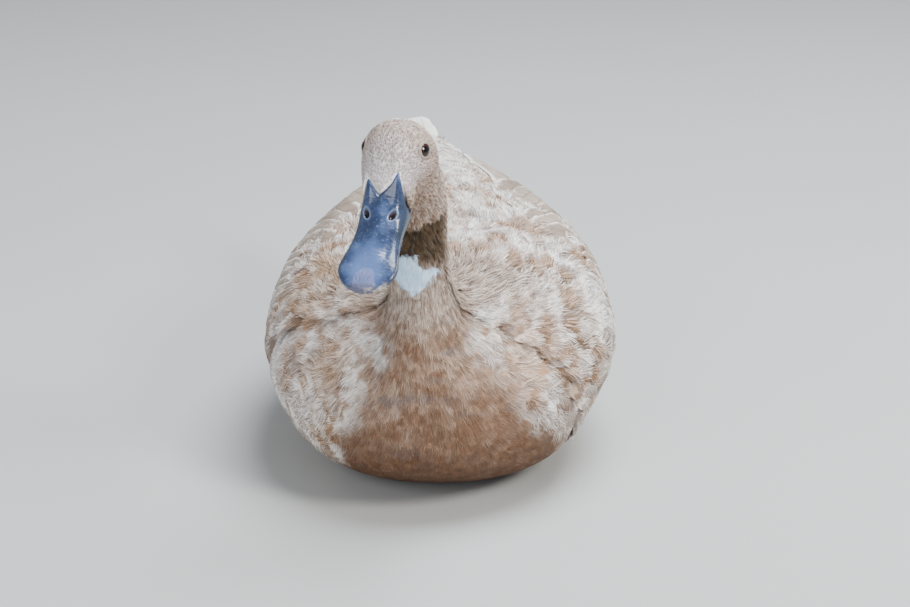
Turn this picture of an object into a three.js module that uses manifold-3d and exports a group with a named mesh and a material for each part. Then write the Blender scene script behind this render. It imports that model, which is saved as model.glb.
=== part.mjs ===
// A female domestic duck at rest, life size, as a museum's still model.
// Millimetres, +Z up, floor at z = 0. The duck faces -Y, so +X is its own left side.
// The origin is the middle of the belly's flat, where the bird's weight lies on the floor.
// The solids reach out to the tips of the plumage. The bird is at rest, so nothing is jointed.
import * as THREE from "three";
import { mergeVertices } from "three/addons/utils/BufferGeometryUtils.js";
import Module from "manifold-3d";

const wasm = await Module();
wasm.setup();

// ---------------------------------------------------------------- driving dimensions
const GAP = 0.35; // between pieces that meet
const SEED = 0.02; // smallest ring, which stands for a pole
const TRIM = 0.08; // how far a surface may move where slivers left by a cut are joined up

const TRUNK = {
  breastY: -131, // foremost point of the trunk's dome
  noseZ: 60, // height of that point
  widestY: 2,
  half: 105, // half the width, without the wings
  crestY: 20,
  crestZ: 149, // highest point of the back
  keelFront: -25, // the belly is level between these two
  keelRear: 92,
  sink: 5, // how far the round belly would pass the floor, which flattens it
  cutY: 196, // where the tail begins
  squareAbove: 1.95, // exponents of the round sections
  squareBelow: 2.4,
  lean: 0.045, // how far the back leans to the duck's left, for each millimetre of height
  leanFrom: 50,
};

const TAIL = {
  tipY: 284,
  swing: 14, // degrees that the tail is held to the duck's right
  roll: 10, // degrees that its left edge is tipped up
  rollFromY: 150,
  swingFromY: 165,
};

const HEAD = {
  eyeLine: new THREE.Vector3(-26.3, -128, 224.5), // point midway between the eyes
  turn: 16.5, // degrees to the duck's right
  bow: 27, // degrees nose down
  backX: -30, // back of the head, in the head's own frame: x forward, y left, z up
  frontX: 34,
};

const BILL = {
  rootX: 15,
  tipX: 84,
  split: 1.6, // how far the lower half is set in from the upper one
};

const NOSTRIL = { long: 3.3, deep: 1.5, tall: 1.7, tilt: 20, turn: 30, x: 38.2, out: 7.6, z: -13.1 };

const EYE = { r: 6.2, side: 13.9, x: -2.5, z: -2 };

const WING = {
  wristY: -80,
  tipY: 238,
  thick: { left: 7, right: 5 }, // over the trunk, at the wing's middle
  edge: 1.4, // over the trunk, at its rim
};

const FOOT = {
  ballY: 66, // joint between the shank and the toes
  ballX: 46,
  toe: 66, // middle toe's length
  hockY: 112,
  thick: 3.2, // web
};

// ---------------------------------------------------------------- small helpers
const rad = THREE.MathUtils.degToRad;
const clamp = THREE.MathUtils.clamp;

// Superellipse arc: 1 at q = 0 and 0 at q = 1.
const bulge = (q, p) => Math.pow(Math.max(0, 1 - Math.pow(Math.abs(q), p)), 1 / p);

// Sine or cosine with its roundness set by an exponent: 2 is a circle, more is squarer.
const rounded = (v, n) => Math.sign(v) * Math.pow(Math.abs(v), 2 / n);

// Smooth curve through rows of [position, value], with level ends beyond the rows.
function profile(rows) {
  const slope = rows.map((row, i) => {
    const a = rows[Math.max(i - 1, 0)];
    const b = rows[Math.min(i + 1, rows.length - 1)];
    return (b[1] - a[1]) / (b[0] - a[0]);
  });
  return (x) => {
    if (x <= rows[0][0]) return rows[0][1];
    if (x >= rows.at(-1)[0]) return rows.at(-1)[1];
    const i = rows.findIndex((row) => row[0] > x) - 1;
    const [x0, v0] = rows[i];
    const [x1, v1] = rows[i + 1];
    const h = x1 - x0;
    const t = (x - x0) / h;
    const s = t * t * (3 - 2 * t);
    return (
      v0 * (1 - s) + v1 * s +
      h * (slope[i] * t * (1 - t) * (1 - t) - slope[i + 1] * t * t * (1 - t))
    );
  };
}

// Closed skin over rings that hold the same number of points, with a fan over each end.
function loft(rings) {
  const n = rings[0].length;
  const points = rings.flat();
  const faces = [];
  for (let r = 0; r + 1 < rings.length; r++)
    for (let i = 0; i < n; i++) {
      const j = (i + 1) % n;
      const [a, b, c, d] = [r * n + i, r * n + j, (r + 1) * n + j, (r + 1) * n + i];
      faces.push(a, b, c, a, c, d);
    }
  for (const [ring, turned] of [[0, true], [rings.length - 1, false]]) {
    const middle = rings[ring]
      .reduce((sum, p) => sum.add(p), new THREE.Vector3())
      .divideScalar(n);
    const centre = points.push(middle) - 1;
    for (let i = 0; i < n; i++) {
      const [a, b] = [ring * n + i, ring * n + ((i + 1) % n)];
      faces.push(...(turned ? [centre, b, a] : [centre, a, b]));
    }
  }
  return new THREE.BufferGeometry()
    .setFromPoints(points)
    .setIndex(faces);
}

// Solid for joining and cutting. A geometry that came out inside down is turned round.
function solid(geometry) {
  const bare = geometry.clone();
  bare.deleteAttribute("normal");
  bare.deleteAttribute("uv");
  const merged = mergeVertices(bare, 1e-3);
  const build = (triVerts) =>
    new wasm.Manifold(
      new wasm.Mesh({
        numProp: 3,
        vertProperties: merged.attributes.position.array,
        triVerts,
      }),
    );
  const triangles = Uint32Array.from(merged.index.array);
  const made = build(triangles);
  if (made.volume() > 0) return made;
  return build(triangles.map((_, i) => triangles[i - (i % 3) + (2 - (i % 3))]));
}

// Named mesh from a solid. Only its largest body is kept, so no crumb of a cut stays.
function piece(name, body, material) {
  const largest = body.simplify(TRIM).decompose().sort((a, b) => b.volume() - a.volume())[0];
  const { numVert, numProp, vertProperties, triVerts } = largest.getMesh();
  const position = new Float32Array(numVert * 3);
  for (let i = 0; i < numVert; i++)
    position.set(vertProperties.subarray(i * numProp, i * numProp + 3), i * 3);
  const geometry = new THREE.BufferGeometry()
    .setAttribute("position", new THREE.BufferAttribute(position, 3))
    .setIndex(new THREE.BufferAttribute(triVerts, 1));
  const mesh = new THREE.Mesh(geometry, material);
  mesh.name = name;
  return mesh;
}

// ---------------------------------------------------------------- trunk and tail
// One family of upright sections runs from the breast to the tip of the tail.
const endY = TAIL.tipY;
const rearHalf = profile([
  [TRUNK.widestY, TRUNK.half],
  [60, 101],
  [110, 85],
  [150, 62],
  [TRUNK.cutY, 37],
  [230, 28],
  [endY, 23.5],
]);
const rearTop = profile([
  [TRUNK.crestY, TRUNK.crestZ],
  [70, 149],
  [120, 144],
  [160, 138],
  [TRUNK.cutY, 132],
  [235, 129],
  [endY, 134],
]);
const rearBottom = profile([
  [TRUNK.keelRear, -TRUNK.sink],
  [120, 1],
  [150, 18],
  [TRUNK.cutY, 69],
  [235, 109],
  [endY, 131],
]);

// Half width, top, bottom and sideways shift of the section at y.
function trunkSize(y) {
  const { breastY, noseZ, widestY, half, crestY, crestZ, keelFront, sink } = TRUNK;
  const front = (from, p) => bulge((from - y) / (from - breastY), p);
  const fan = bulge(clamp((y - 252) / (endY - 252), 0, 1), 2.2); // round end of the tail
  const behind = Math.max(0, y - TAIL.swingFromY) / (endY - TAIL.swingFromY);
  return {
    half: (y < widestY ? half * front(widestY, 2.25) : rearHalf(y)) * fan,
    top: y < crestY ? noseZ + (crestZ - noseZ) * front(crestY, 2.1) : rearTop(y),
    bottom: y < keelFront ? noseZ - (noseZ + sink) * front(keelFront, 2.2) : rearBottom(y),
    x: -Math.tan(rad(TAIL.swing)) * (endY - TAIL.swingFromY) * Math.pow(behind, 1.3),
  };
}

// Point of that section at angle a, 0 on the left flank and a quarter turn on the back.
function trunkPoint(y, a, grow) {
  const { half, top, bottom, x } = trunkSize(y);
  const middle = bottom + (top - bottom) * 0.47;
  const square = Math.sin(a) > 0 ? TRUNK.squareAbove : TRUNK.squareBelow;
  const up = rounded(Math.sin(a), square);
  const tall = (up > 0 ? top - middle : middle - bottom) + grow;
  const z = Math.max(middle + up * tall, 0);
  const leant = TRUNK.lean * Math.max(0, z - TRUNK.leanFrom);
  const side = rounded(Math.cos(a), square) * (half + grow + SEED);
  const behind = clamp((y - TAIL.rollFromY) / (endY - TAIL.rollFromY), 0, 1);
  const tipped = side * Math.tan(rad(TAIL.roll)) * behind * behind;
  return new THREE.Vector3(x + leant + side, y, z + tipped);
}

function trunkLoft(from, to, count, grow = 0) {
  const sides = 28;
  const rings = [];
  for (let i = 0; i <= count; i++) {
    const t = i / count;
    const eased = from < TRUNK.breastY + 1 ? t * t * 0.5 + t * 0.5 : t;
    const y = from + (to - from) * eased;
    rings.push(
      Array.from({ length: sides }, (_, k) => trunkPoint(y, (k / sides) * Math.PI * 2, grow)),
    );
  }
  return solid(loft(rings));
}

const domeFrom = TRUNK.breastY + 0.2;
const dome = trunkLoft(domeFrom, TRUNK.cutY, 24);
const domeGrown = trunkLoft(domeFrom, TRUNK.cutY, 24, GAP);
const tail = trunkLoft(TRUNK.cutY + GAP, endY - 0.4, 10);
const tailGrown = trunkLoft(TRUNK.cutY - GAP, endY - 0.4, 10, GAP);

// ---------------------------------------------------------------- neck and breast
// Level sections from inside the head down to the breast, which stands proud of the dome.
const neckX = profile([
  [12, 0], [60, -4], [97, -8], [114, -9], [138, -11], [173, -16], [200, -19], [222, -22],
]);
const neckHalf = profile([
  [12, 38], [30, 58], [48, 62], [66, 55], [81, 43], [97, 31.5], [114, 23.8], [126, 21],
  [138, 19.4], [160, 19.6], [185, 22], [205, 21.5], [222, 17],
]);
const neckFront = profile([
  [12, -102], [24, -122], [40, -134], [58, -138], [78, -137], [97, -133], [114, -129],
  [140, -124], [170, -122], [222, -128],
]);
const neckBack = profile([
  [12, -60], [80, -46], [105, -52], [120, -66], [140, -77], [170, -82], [195, -85],
  [210, -90], [222, -98],
]);
function neckLoft(from, to, count, grow = 0) {
  const sides = 22;
  const rings = [];
  for (let i = 0; i <= count; i++) {
    const z = from + ((to - from) * i) / count;
    const half = neckHalf(z) + grow;
    const [front, back] = [neckFront(z) - grow, neckBack(z) + grow];
    rings.push(
      Array.from({ length: sides }, (_, k) => {
        const a = (k / sides) * Math.PI * 2;
        return new THREE.Vector3(
          neckX(z) + rounded(Math.cos(a), 2.1) * half,
          (front + back) / 2 + (rounded(Math.sin(a), 2.1) * (back - front)) / 2,
          z,
        );
      }),
    );
  }
  return solid(loft(rings));
}
const NECK_CUT_Z = 112;

// ---------------------------------------------------------------- head
const headFrame = new THREE.Matrix4()
  .makeBasis(
    new THREE.Vector3(0, -1, 0),
    new THREE.Vector3(1, 0, 0),
    new THREE.Vector3(0, 0, 1),
  )
  .premultiply(new THREE.Matrix4().makeRotationX(rad(HEAD.bow)))
  .premultiply(new THREE.Matrix4().makeRotationZ(rad(-HEAD.turn)))
  .setPosition(HEAD.eyeLine);
const inHead = (geometry) => solid(geometry.applyMatrix4(headFrame));

const headHalf = profile([
  [-30, 20], [-20, 22], [-12, 22.4], [0, 20.7], [10, 17.8], [18, 15.5], [24, 14.7],
  [30, 14.2], [34, 13.9],
]);
const headTop = profile([
  [-30, 8.5], [-18, 10.3], [-6, 12.8], [3, 12.4], [12, 8.2], [20, 1.4], [26, -4.6], [30, -8],
  [34, -10.4],
]);
const headBottom = profile([
  [-30, -28], [-18, -32], [-4, -31.5], [8, -29], [20, -27.5], [34, -27],
]);

// Where bill takes over from feathers, seen from above: a V of feathers between two horns
// of bill, then slanting back down to the corners of the mouth.
const FACE = { ahead: 3.2, aside: -1.2 }; // where that edge sits on the head
function billMask(ahead = 0) {
  const { tipX } = BILL;
  const edge = new THREE.Shape();
  edge.moveTo(25.5, 0);
  edge.quadraticCurveTo(22, 5.2, 18.3, 9.5);
  edge.quadraticCurveTo(20, 12.5, 26.5, 15);
  edge.lineTo(27.5, 40);
  edge.lineTo(tipX + 20, 40);
  edge.lineTo(tipX + 20, -40);
  edge.lineTo(27.5, -40);
  edge.lineTo(26.5, -15);
  edge.quadraticCurveTo(20, -12.5, 18.3, -9.5);
  edge.quadraticCurveTo(22, -5.2, 25.5, 0);
  return inHead(
    new THREE.ExtrudeGeometry(edge, { depth: 80, bevelEnabled: false, curveSegments: 4 })
      .translate(ahead + FACE.ahead, FACE.aside, -50),
  );
}

function headLoft(grow = 0) {
  const sides = 22;
  const rings = [];
  const steps = 16;
  for (let i = 0; i <= steps; i++) {
    const t = i / steps;
    const x = HEAD.backX + (HEAD.frontX - HEAD.backX) * (0.35 * t * t + 0.65 * t);
    const back = bulge(clamp((HEAD.backX + 24 - x) / 24, 0, 0.9995), 2);
    const [top, bottom] = [headTop(x), headBottom(x)];
    const middle = bottom + (top - bottom) * 0.45;
    rings.push(
      Array.from({ length: sides }, (_, k) => {
        const a = (k / sides) * Math.PI * 2;
        const up = rounded(Math.sin(a), 2.15);
        const cheek = 1 - 0.08 * up; // fuller below the eye than above it
        const tall = (up > 0 ? top - middle : middle - bottom) * back + grow;
        return new THREE.Vector3(
          x,
          rounded(Math.cos(a), 2.15) * (headHalf(x) * back * cheek + grow),
          middle + up * tall,
        );
      }),
    );
  }
  return inHead(loft(rings));
}

// ---------------------------------------------------------------- bill
// The spoon: its plan, its roof and the edge where the halves meet, along the head's x.
const billHalf = profile([
  [15, 12.8], [20, 13.8], [26, 14.2], [34, 13.8], [42, 13.2], [50, 13.4], [59, 14.9], [67, 16.6],
  [73, 17.2],
]);
const billRoof = profile([
  [15, 5], [20, 0.6], [26, -5.2], [31, -8.6], [36, -11.2], [46, -15.2], [57, -18.8], [68, -21],
  [84, -24.5],
]);
const billEdge = profile([[15, -23], [26, -24], [40, -25], [60, -25.4], [75, -26.2], [84, -27.6]]);
const tipRound = (x) => bulge(clamp((x - 67) / (BILL.tipX - 67), 0, 0.9996), 2.1);

// Height of the roof over its middle: two ridges run up to the horns beside the forehead.
function roofRise(x, side) {
  const horn = THREE.MathUtils.smoothstep(46 - x, 0, 26);
  const away = (Math.abs(side) - 8.8) / 3.4;
  return 3.2 * horn * Math.exp(-away * away);
}

const ROOF_STEPS = 12;
function billUpperLoft(grow = 0) {
  const rings = [];
  const steps = 20;
  for (let i = 0; i <= steps; i++) {
    const t = i / steps;
    const [from, to] = [BILL.rootX - grow, BILL.tipX + grow];
    const x = from + (to - from) * (1 - Math.pow(1 - t, 1.35));
    const half = billHalf(x) * tipRound(x) + grow + SEED;
    const edge = billEdge(x);
    const roof = billRoof(x);
    const ring = [];
    for (let k = 0; k <= ROOF_STEPS; k++) {
      const a = Math.PI * (k / ROOF_STEPS);
      const side = Math.cos(a) * half;
      const arch = Math.pow(Math.sin(a), 0.72);
      ring.push(
        new THREE.Vector3(
          x, side,
          edge + (roof - edge + roofRise(x, side)) * arch + grow * (2 * arch - 1),
        ),
      );
    }
    for (let k = 1; k < 6; k++) {
      const side = -half + (2 * half * k) / 6;
      ring.push(new THREE.Vector3(x, side * 0.96, edge - 0.9 - grow));
    }
    rings.push(ring);
  }
  return inHead(loft(rings));
}

function billLowerLoft(grow = 0) {
  const rings = [];
  const steps = 13;
  const [from, to] = [BILL.rootX + 4 - grow, BILL.tipX - 2.5 + grow];
  for (let i = 0; i <= steps; i++) {
    const x = from + (to - from) * (1 - Math.pow(1 - i / steps, 1.4));
    const half = Math.max(
      (billHalf(x) - BILL.split) * bulge(clamp((x - 65) / (to - 65), 0, 0.999), 2.1), 0.2,
    ) + grow;
    const edge = billEdge(x) - 0.9 - GAP;
    const keel = 4.6 - 2.4 * ((x - from) / (to - from));
    rings.push(
      Array.from({ length: 12 }, (_, k) => {
        const a = (k / 12) * Math.PI * 2;
        const up = Math.sin(a);
        return new THREE.Vector3(
          x, Math.cos(a) * half, edge - 0.6 + up * ((up > 0 ? 0.4 : keel) + grow),
        );
      }),
    );
  }
  return inHead(loft(rings));
}

function nostril(side) {
  const { long, deep, tall, tilt, turn, x, out, z } = NOSTRIL;
  const hole = new THREE.SphereGeometry(1, 7, 5)
    .applyMatrix4(new THREE.Matrix4().makeScale(long, deep, tall))
    .applyMatrix4(new THREE.Matrix4().makeRotationY(rad(tilt)))
    .applyMatrix4(new THREE.Matrix4().makeRotationZ(-side * rad(turn)))
    .translate(x, side * out, z);
  return inHead(hole);
}

function eyeball(side, grow = 0) {
  const ball = new THREE.SphereGeometry(EYE.r + grow, 12, 8)
    .translate(EYE.x, side * EYE.side, EYE.z);
  return inHead(ball);
}

// ---------------------------------------------------------------- wings
// Each folded wing is a shell over the trunk's sections, between two angles of theirs.
const wingLow = profile([
  [-80, 6], [-55, -8], [-10, -15], [60, -13], [120, -4], [170, 10], [238, 38],
]);
const wingHigh = profile([
  [-80, 26], [-60, 40], [-20, 52], [50, 62], [120, 70], [170, 76], [238, 80],
]);

function wingShell(side, thick) {
  const [alongSteps, acrossSteps] = [18, 6];
  const rings = [];
  for (let i = 0; i <= alongSteps; i++) {
    const u = i / alongSteps;
    const y = WING.wristY + (WING.tipY - WING.wristY) * u;
    const rise = bulge(clamp(1 - u / 0.18, 0, 1), 2) * (1 - 0.3 * u * u);
    const point = (v, grow) => {
      const a = rad(wingLow(y) + (wingHigh(y) - wingLow(y)) * v);
      return trunkPoint(y, side > 0 ? a : Math.PI - a, grow);
    };
    const ring = [];
    for (let j = 0; j <= acrossSteps; j++) {
      const v = j / acrossSteps;
      const swell = rise * bulge(2 * v - 1, 2.4);
      ring.push(point(v, WING.edge + (thick - WING.edge) * swell));
    }
    for (let j = acrossSteps; j >= 0; j--) ring.push(point(j / acrossSteps, -1.5));
    rings.push(ring);
  }
  return solid(loft(rings));
}

// ---------------------------------------------------------------- legs
// Shank and webbed foot lie flat beside the belly, toes forward.
function footWeb(side, grow) {
  const { ballX, ballY, toe, thick } = FOOT;
  const ray = (degrees, length) => [
    ballX + Math.sin(rad(degrees)) * length, ballY - Math.cos(rad(degrees)) * length,
  ];
  const outline = new THREE.Shape();
  outline.moveTo(ballX - 6 - grow, ballY + 5 + grow);
  outline.lineTo(...ray(-15, toe * 0.74 + grow));
  outline.quadraticCurveTo(...ray(-5, toe * 0.72), ...ray(3, toe + grow));
  outline.quadraticCurveTo(...ray(13, toe * 0.8), ...ray(22, toe * 0.93 + grow));
  outline.lineTo(ballX + 7 + grow, ballY + 5 + grow);
  const plate = new THREE.ExtrudeGeometry(outline, {
    depth: thick + 2 * grow, bevelEnabled: false, curveSegments: 6,
  }).translate(0, 0, -grow);
  return side < 0 ? plate.applyMatrix4(new THREE.Matrix4().makeScale(-1, 1, 1)) : plate;
}

function bar(points, radius, side, grow) {
  const sides = 8;
  const path = new THREE.CatmullRomCurve3(
    points.map(([x, y, z]) => new THREE.Vector3(side * x, y, z)),
  );
  const rings = [];
  const steps = 5;
  for (let i = 0; i <= steps; i++) {
    const t = i / steps;
    const at = path.getPointAt(t);
    const along = path.getTangentAt(t);
    const across = new THREE.Vector3(along.y, -along.x, 0).normalize();
    const up = across.clone().cross(along).normalize();
    const r = radius(t) + grow;
    rings.push(
      Array.from({ length: sides }, (_, k) => {
        const a = (k / sides) * Math.PI * 2;
        const p = at.clone().addScaledVector(across, Math.cos(a) * r);
        p.addScaledVector(up, Math.sin(a) * r);
        p.z = Math.max(p.z, -grow);
        return p;
      }),
    );
  }
  return solid(loft(rings));
}

function foot(side, grow = 0) {
  const { ballX, ballY, toe, hockY } = FOOT;
  const toes = [[-15, 0.76], [3, 1], [22, 0.95]].map(([degrees, share]) => {
    const reach = (s) => [
      ballX + Math.sin(rad(degrees)) * toe * share * s,
      ballY - Math.cos(rad(degrees)) * toe * share * s,
      2.0,
    ];
    return bar([reach(0), reach(0.5), reach(0.98)], (t) => 3.6 - 1.9 * t, side, grow);
  });
  const shank = bar(
    [[ballX, ballY - 2, 4.2], [ballX + 1, (ballY + hockY) / 2, 5], [ballX - 2, hockY, 7]],
    (t) => 4.6 + 1.6 * t * t, side, grow,
  );
  return toes.reduce((sum, one) => sum.add(one), solid(footWeb(side, grow)).add(shank));
}

// ---------------------------------------------------------------- colours
const finish = (color, roughness) =>
  new THREE.MeshStandardMaterial({ color, roughness, metalness: 0 });
const fawn = finish(0xa68d78, 0.85);
const rufous = finish(0x94714f, 0.85);
const cream = finish(0xcfc2b4, 0.8);
const slate = finish(0x5d6a78, 0.35);
const iris = finish(0x2a1710, 0.08);
const tan = finish(0xb5713c, 0.55);

// ---------------------------------------------------------------- the duck
const duck = new THREE.Group();
const add = (name, body, material) => duck.add(piece(name, body, material));

const head = headLoft();
const headGrown = headLoft(GAP);
const billUpper = billUpperLoft();
const billLower = billLowerLoft();
const eyes = { left: 1, right: -1 };

const mask = billMask(0.6);
let face = head.subtract(billMask());
let beak = billUpper.intersect(mask);
for (const side of Object.values(eyes)) {
  face = face.subtract(eyeball(side, GAP));
  beak = beak.subtract(nostril(side));
}
add("head", face, fawn);
add("bill_upper", beak, slate);
add("bill_lower", billLower.intersect(mask), slate);
for (const [name, side] of Object.entries(eyes)) add("eye_" + name, eyeball(side), iris);

const neck = neckLoft(NECK_CUT_Z + GAP, 220, 9);
const breast = neckLoft(12, NECK_CUT_Z, 11);
add("neck", neck.subtract(headGrown).subtract(domeGrown).subtract(billLowerLoft(GAP)), fawn);
add("breast", breast, rufous);

const feet = Object.entries(eyes).map(([name, side]) => [name, foot(side), foot(side, GAP)]);
let trunk = dome.subtract(neckLoft(12 - GAP, NECK_CUT_Z + GAP, 11, GAP));
for (const [name, leg, legGrown] of feet) {
  trunk = trunk.subtract(legGrown);
  add("leg_" + name, leg, tan);
}
add("trunk", trunk, cream);
add("tail", tail, cream);
for (const [name, side] of Object.entries(eyes))
  add(
    "wing_" + name,
    wingShell(side, WING.thick[name]).subtract(domeGrown).subtract(tailGrown), cream,
  );

export default duck;
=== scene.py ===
# %% [markdown]
# # A resting duck
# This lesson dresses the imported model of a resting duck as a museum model. One skin is grown
# from the flesh parts, and a coat of mesh feathers is laid over it, following the way that real
# plumage lies. The bill, eyes and legs are pieces of their own.

import math

import bmesh
import bpy
import numpy as np
from mathutils import Matrix, Vector
from mathutils.bvhtree import BVHTree
from mathutils.kdtree import KDTree


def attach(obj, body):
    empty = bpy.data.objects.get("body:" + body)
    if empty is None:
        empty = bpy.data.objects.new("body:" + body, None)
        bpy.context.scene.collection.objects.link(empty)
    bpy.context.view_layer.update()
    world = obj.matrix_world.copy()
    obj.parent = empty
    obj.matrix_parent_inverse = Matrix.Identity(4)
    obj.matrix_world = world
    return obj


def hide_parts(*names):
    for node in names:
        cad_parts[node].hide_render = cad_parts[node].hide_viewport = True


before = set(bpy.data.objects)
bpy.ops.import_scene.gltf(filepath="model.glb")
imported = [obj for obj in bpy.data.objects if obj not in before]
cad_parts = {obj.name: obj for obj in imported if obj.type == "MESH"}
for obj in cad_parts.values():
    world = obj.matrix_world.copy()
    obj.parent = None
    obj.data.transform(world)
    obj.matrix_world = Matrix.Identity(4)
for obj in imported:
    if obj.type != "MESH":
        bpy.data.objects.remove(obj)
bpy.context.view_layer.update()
MM = 0.001
rng = np.random.default_rng(7)

# %% [markdown]
# ## Names for places
# The head has a frame of its own: x runs forward along the bill, y to the duck's left and z up,
# from the point between the eyes. It is turned to the duck's right and bowed, so every shape on
# the face is easiest to say in that frame. Millimetres are used there.

# %% The head's own frame
EYE_LINE = Vector((-26.3, -128.0, 224.5)) * MM
TURN = math.radians(16.5)
BOW = math.radians(27.0)
head_turn = Matrix.Rotation(-TURN, 4, "Z") @ Matrix.Rotation(BOW, 4, "X") @ Matrix.Rotation(-math.pi / 2, 4, "Z")
head_frame = Matrix.Translation(EYE_LINE) @ head_turn @ Matrix.Scale(MM, 4)
to_head = head_frame.inverted()


def in_head(points):
    """Row-frame points, as an array in metres, turned into the head's frame in millimetres."""
    m = np.array(to_head)
    return points @ m[:3, :3].T + m[:3, 3]


def ramp(value, rows):
    """Straight lines through rows of (position, value), level beyond the ends."""
    places, values = zip(*rows)
    return np.interp(value, places, values)


def smooth_step(value, low, high):
    t = np.clip((value - low) / (high - low), 0, 1)
    return t * t * (3 - 2 * t)


# %% [markdown]
# ## Helpers for pieces
# A piece is made once, given its material, and told which body carries it. Arrays are used only
# where thousands of feathers are joined into one mesh.

# %% Helpers for pieces
def mesh_from_bmesh(name, bm, smooth=True):
    mesh = bpy.data.meshes.new(name)
    bm.to_mesh(mesh)
    bm.free()
    mesh.polygons.foreach_set("use_smooth", [smooth] * len(mesh.polygons))
    thing = bpy.data.objects.new(name, mesh)
    bpy.context.collection.objects.link(thing)
    return thing


def dress(thing, material, slot, *stands_for):
    thing.data.materials.clear()
    thing.data.materials.append(material)
    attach(thing, "root")
    if stands_for:
        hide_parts(*stands_for)
    return thing


def apply_modifiers(thing):
    bpy.context.view_layer.update()
    evaluated = thing.evaluated_get(bpy.context.evaluated_depsgraph_get())
    mesh = bpy.data.meshes.new_from_object(evaluated)
    thing.modifiers.clear()
    old = thing.data
    thing.data = mesh
    bpy.data.meshes.remove(old)


def vertex_array(mesh, what="co"):
    values = np.empty(len(mesh.vertices) * 3)
    if what == "co":
        mesh.vertices.foreach_get("co", values)
    else:
        mesh.vertex_normals.foreach_get("vector", values)
    return values.reshape(-1, 3)


def mesh_edges(mesh):
    edges = np.empty(len(mesh.edges) * 2, dtype=np.int64)
    mesh.edges.foreach_get("vertices", edges)
    return edges.reshape(-1, 2)


# %% [markdown]
# ## The skin
# The flesh parts of the model reach out to the tips of the plumage, so the skin is their union
# drawn inwards by the depth of the coat: little on the face, more on the body. A voxel remesh
# joins the parts without a seam. The eye sockets are filled level, because the eyes rise through
# the skin, and the tail's flesh stops well before the feathers' tips.

# %% Skin
FLESH = ("head", "neck", "breast", "trunk", "tail", "wing_left", "wing_right")
VOXEL = 1.7 * MM
TAIL_FLESH_Y = 0.238
EYE_PLACE = (-2.5, 13.9, -2.0)
EYE_ROUND = 6.2
EYE_AXIS = (0.20, 0.90, 0.38)
BALL_ROUND = 5.7


def merged_copy(node):
    bm = bmesh.new()
    bm.from_mesh(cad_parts[node].data)
    bmesh.ops.remove_doubles(bm, verts=bm.verts, dist=1e-6)
    return bm


def level_sockets(bm):
    """Takes the round eye sockets out of the head and closes it level."""
    for side in (1, -1):
        centre = head_frame @ Vector((EYE_PLACE[0], side * EYE_PLACE[1], EYE_PLACE[2]))
        inside = [v for v in bm.verts if (v.co - centre).length < (EYE_ROUND + 0.42) * MM]
        bmesh.ops.delete(bm, geom=inside, context="VERTS")
    bmesh.ops.holes_fill(bm, edges=[e for e in bm.edges if e.is_boundary], sides=0)


def flesh_union():
    whole = bpy.data.meshes.new("flesh")
    joined = bmesh.new()
    for node in FLESH:
        bm = merged_copy(node)
        if node in ("tail", "wing_left", "wing_right"):
            edge = bmesh.ops.bisect_plane(
                bm, geom=[*bm.verts, *bm.edges, *bm.faces], dist=1e-7,
                plane_co=(0, TAIL_FLESH_Y, 0), plane_no=(0, 1, 0), clear_outer=True,
            )
            cut = [e for e in edge["geom_cut"] if isinstance(e, bmesh.types.BMEdge)]
            if cut:
                bmesh.ops.holes_fill(bm, edges=cut, sides=0)
        if node == "head":
            level_sockets(bm)
        bmesh.ops.recalc_face_normals(bm, faces=bm.faces)
        for vert in bm.verts:
            vert.co += vert.normal * 0.3 * MM
        bm.to_mesh(whole)
        joined.from_mesh(whole)
        bm.free()
    bpy.data.meshes.remove(whole)
    return joined


def coat_depth(points):
    """How far the plumage's tips stand over the skin, in metres."""
    local = in_head(points)
    from_head = np.linalg.norm(local - np.array([0.0, 0, -8]), axis=1)
    depth = ramp(from_head, [(26, 1.1), (38, 1.5), (60, 2.2), (90, 3.0), (150, 4.6)])
    depth = np.where(local[:, 0] > 14, ramp(local[:, 0], [(14, 1.1), (22, 0.5)]), depth)
    tail = smooth_step(points[:, 1], 0.19, TAIL_FLESH_Y)
    return (depth * (1 - tail) + 3.4 * tail) * MM


def remeshed(thing, size, turns):
    remesh = thing.modifiers.new("remesh", "REMESH")
    remesh.mode = "VOXEL"
    remesh.voxel_size = size
    even = thing.modifiers.new("even", "SMOOTH")
    even.factor = 0.5
    even.iterations = turns
    apply_modifiers(thing)


def drawn_even(points, edges, share, turns):
    """Points drawn to the mean of their neighbours, each by its own share: it fills creases."""
    a, b = edges[:, 0], edges[:, 1]
    degree = np.bincount(edges.ravel(), minlength=len(points))[:, None]
    for turn in range(turns):
        around = np.stack(
            [np.bincount(a, points[b, k], len(points)) + np.bincount(b, points[a, k], len(points)) for k in range(3)],
            axis=1,
        )
        points = points + share[:, None] * (around / degree - points)
    return points


skin = mesh_from_bmesh("skin", flesh_union())
remeshed(skin, VOXEL, 6)
spots = vertex_array(skin.data)
spots -= vertex_array(skin.data, "normal") * coat_depth(spots)[:, None]
body_share = smooth_step(np.linalg.norm(in_head(spots), axis=1), 62, 90) * (1 - smooth_step(spots[:, 1], 0.10, 0.16))
spots = drawn_even(spots, mesh_edges(skin.data), 0.7 * body_share * smooth_step(spots[:, 2], 0.004, 0.02), 60)
skin.data.vertices.foreach_set("co", spots.ravel())
remeshed(skin, VOXEL, 4)
skin.data.polygons.foreach_set("use_smooth", [True] * len(skin.data.polygons))
print("skin", len(skin.data.vertices), "vertices")


# %% [markdown]
# ## The lie of the coat
# Feathers point away from the bill, over the crown, down the neck, and back along the body. A
# potential that is 0 at the bill and 1 at the tail, and elsewhere the mean of its neighbours,
# gives that at every point of the skin: its slope is the way that the feathers lie. It parts
# round the shoulders and closes under the belly by itself. Conjugate gradients solve it.

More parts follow.
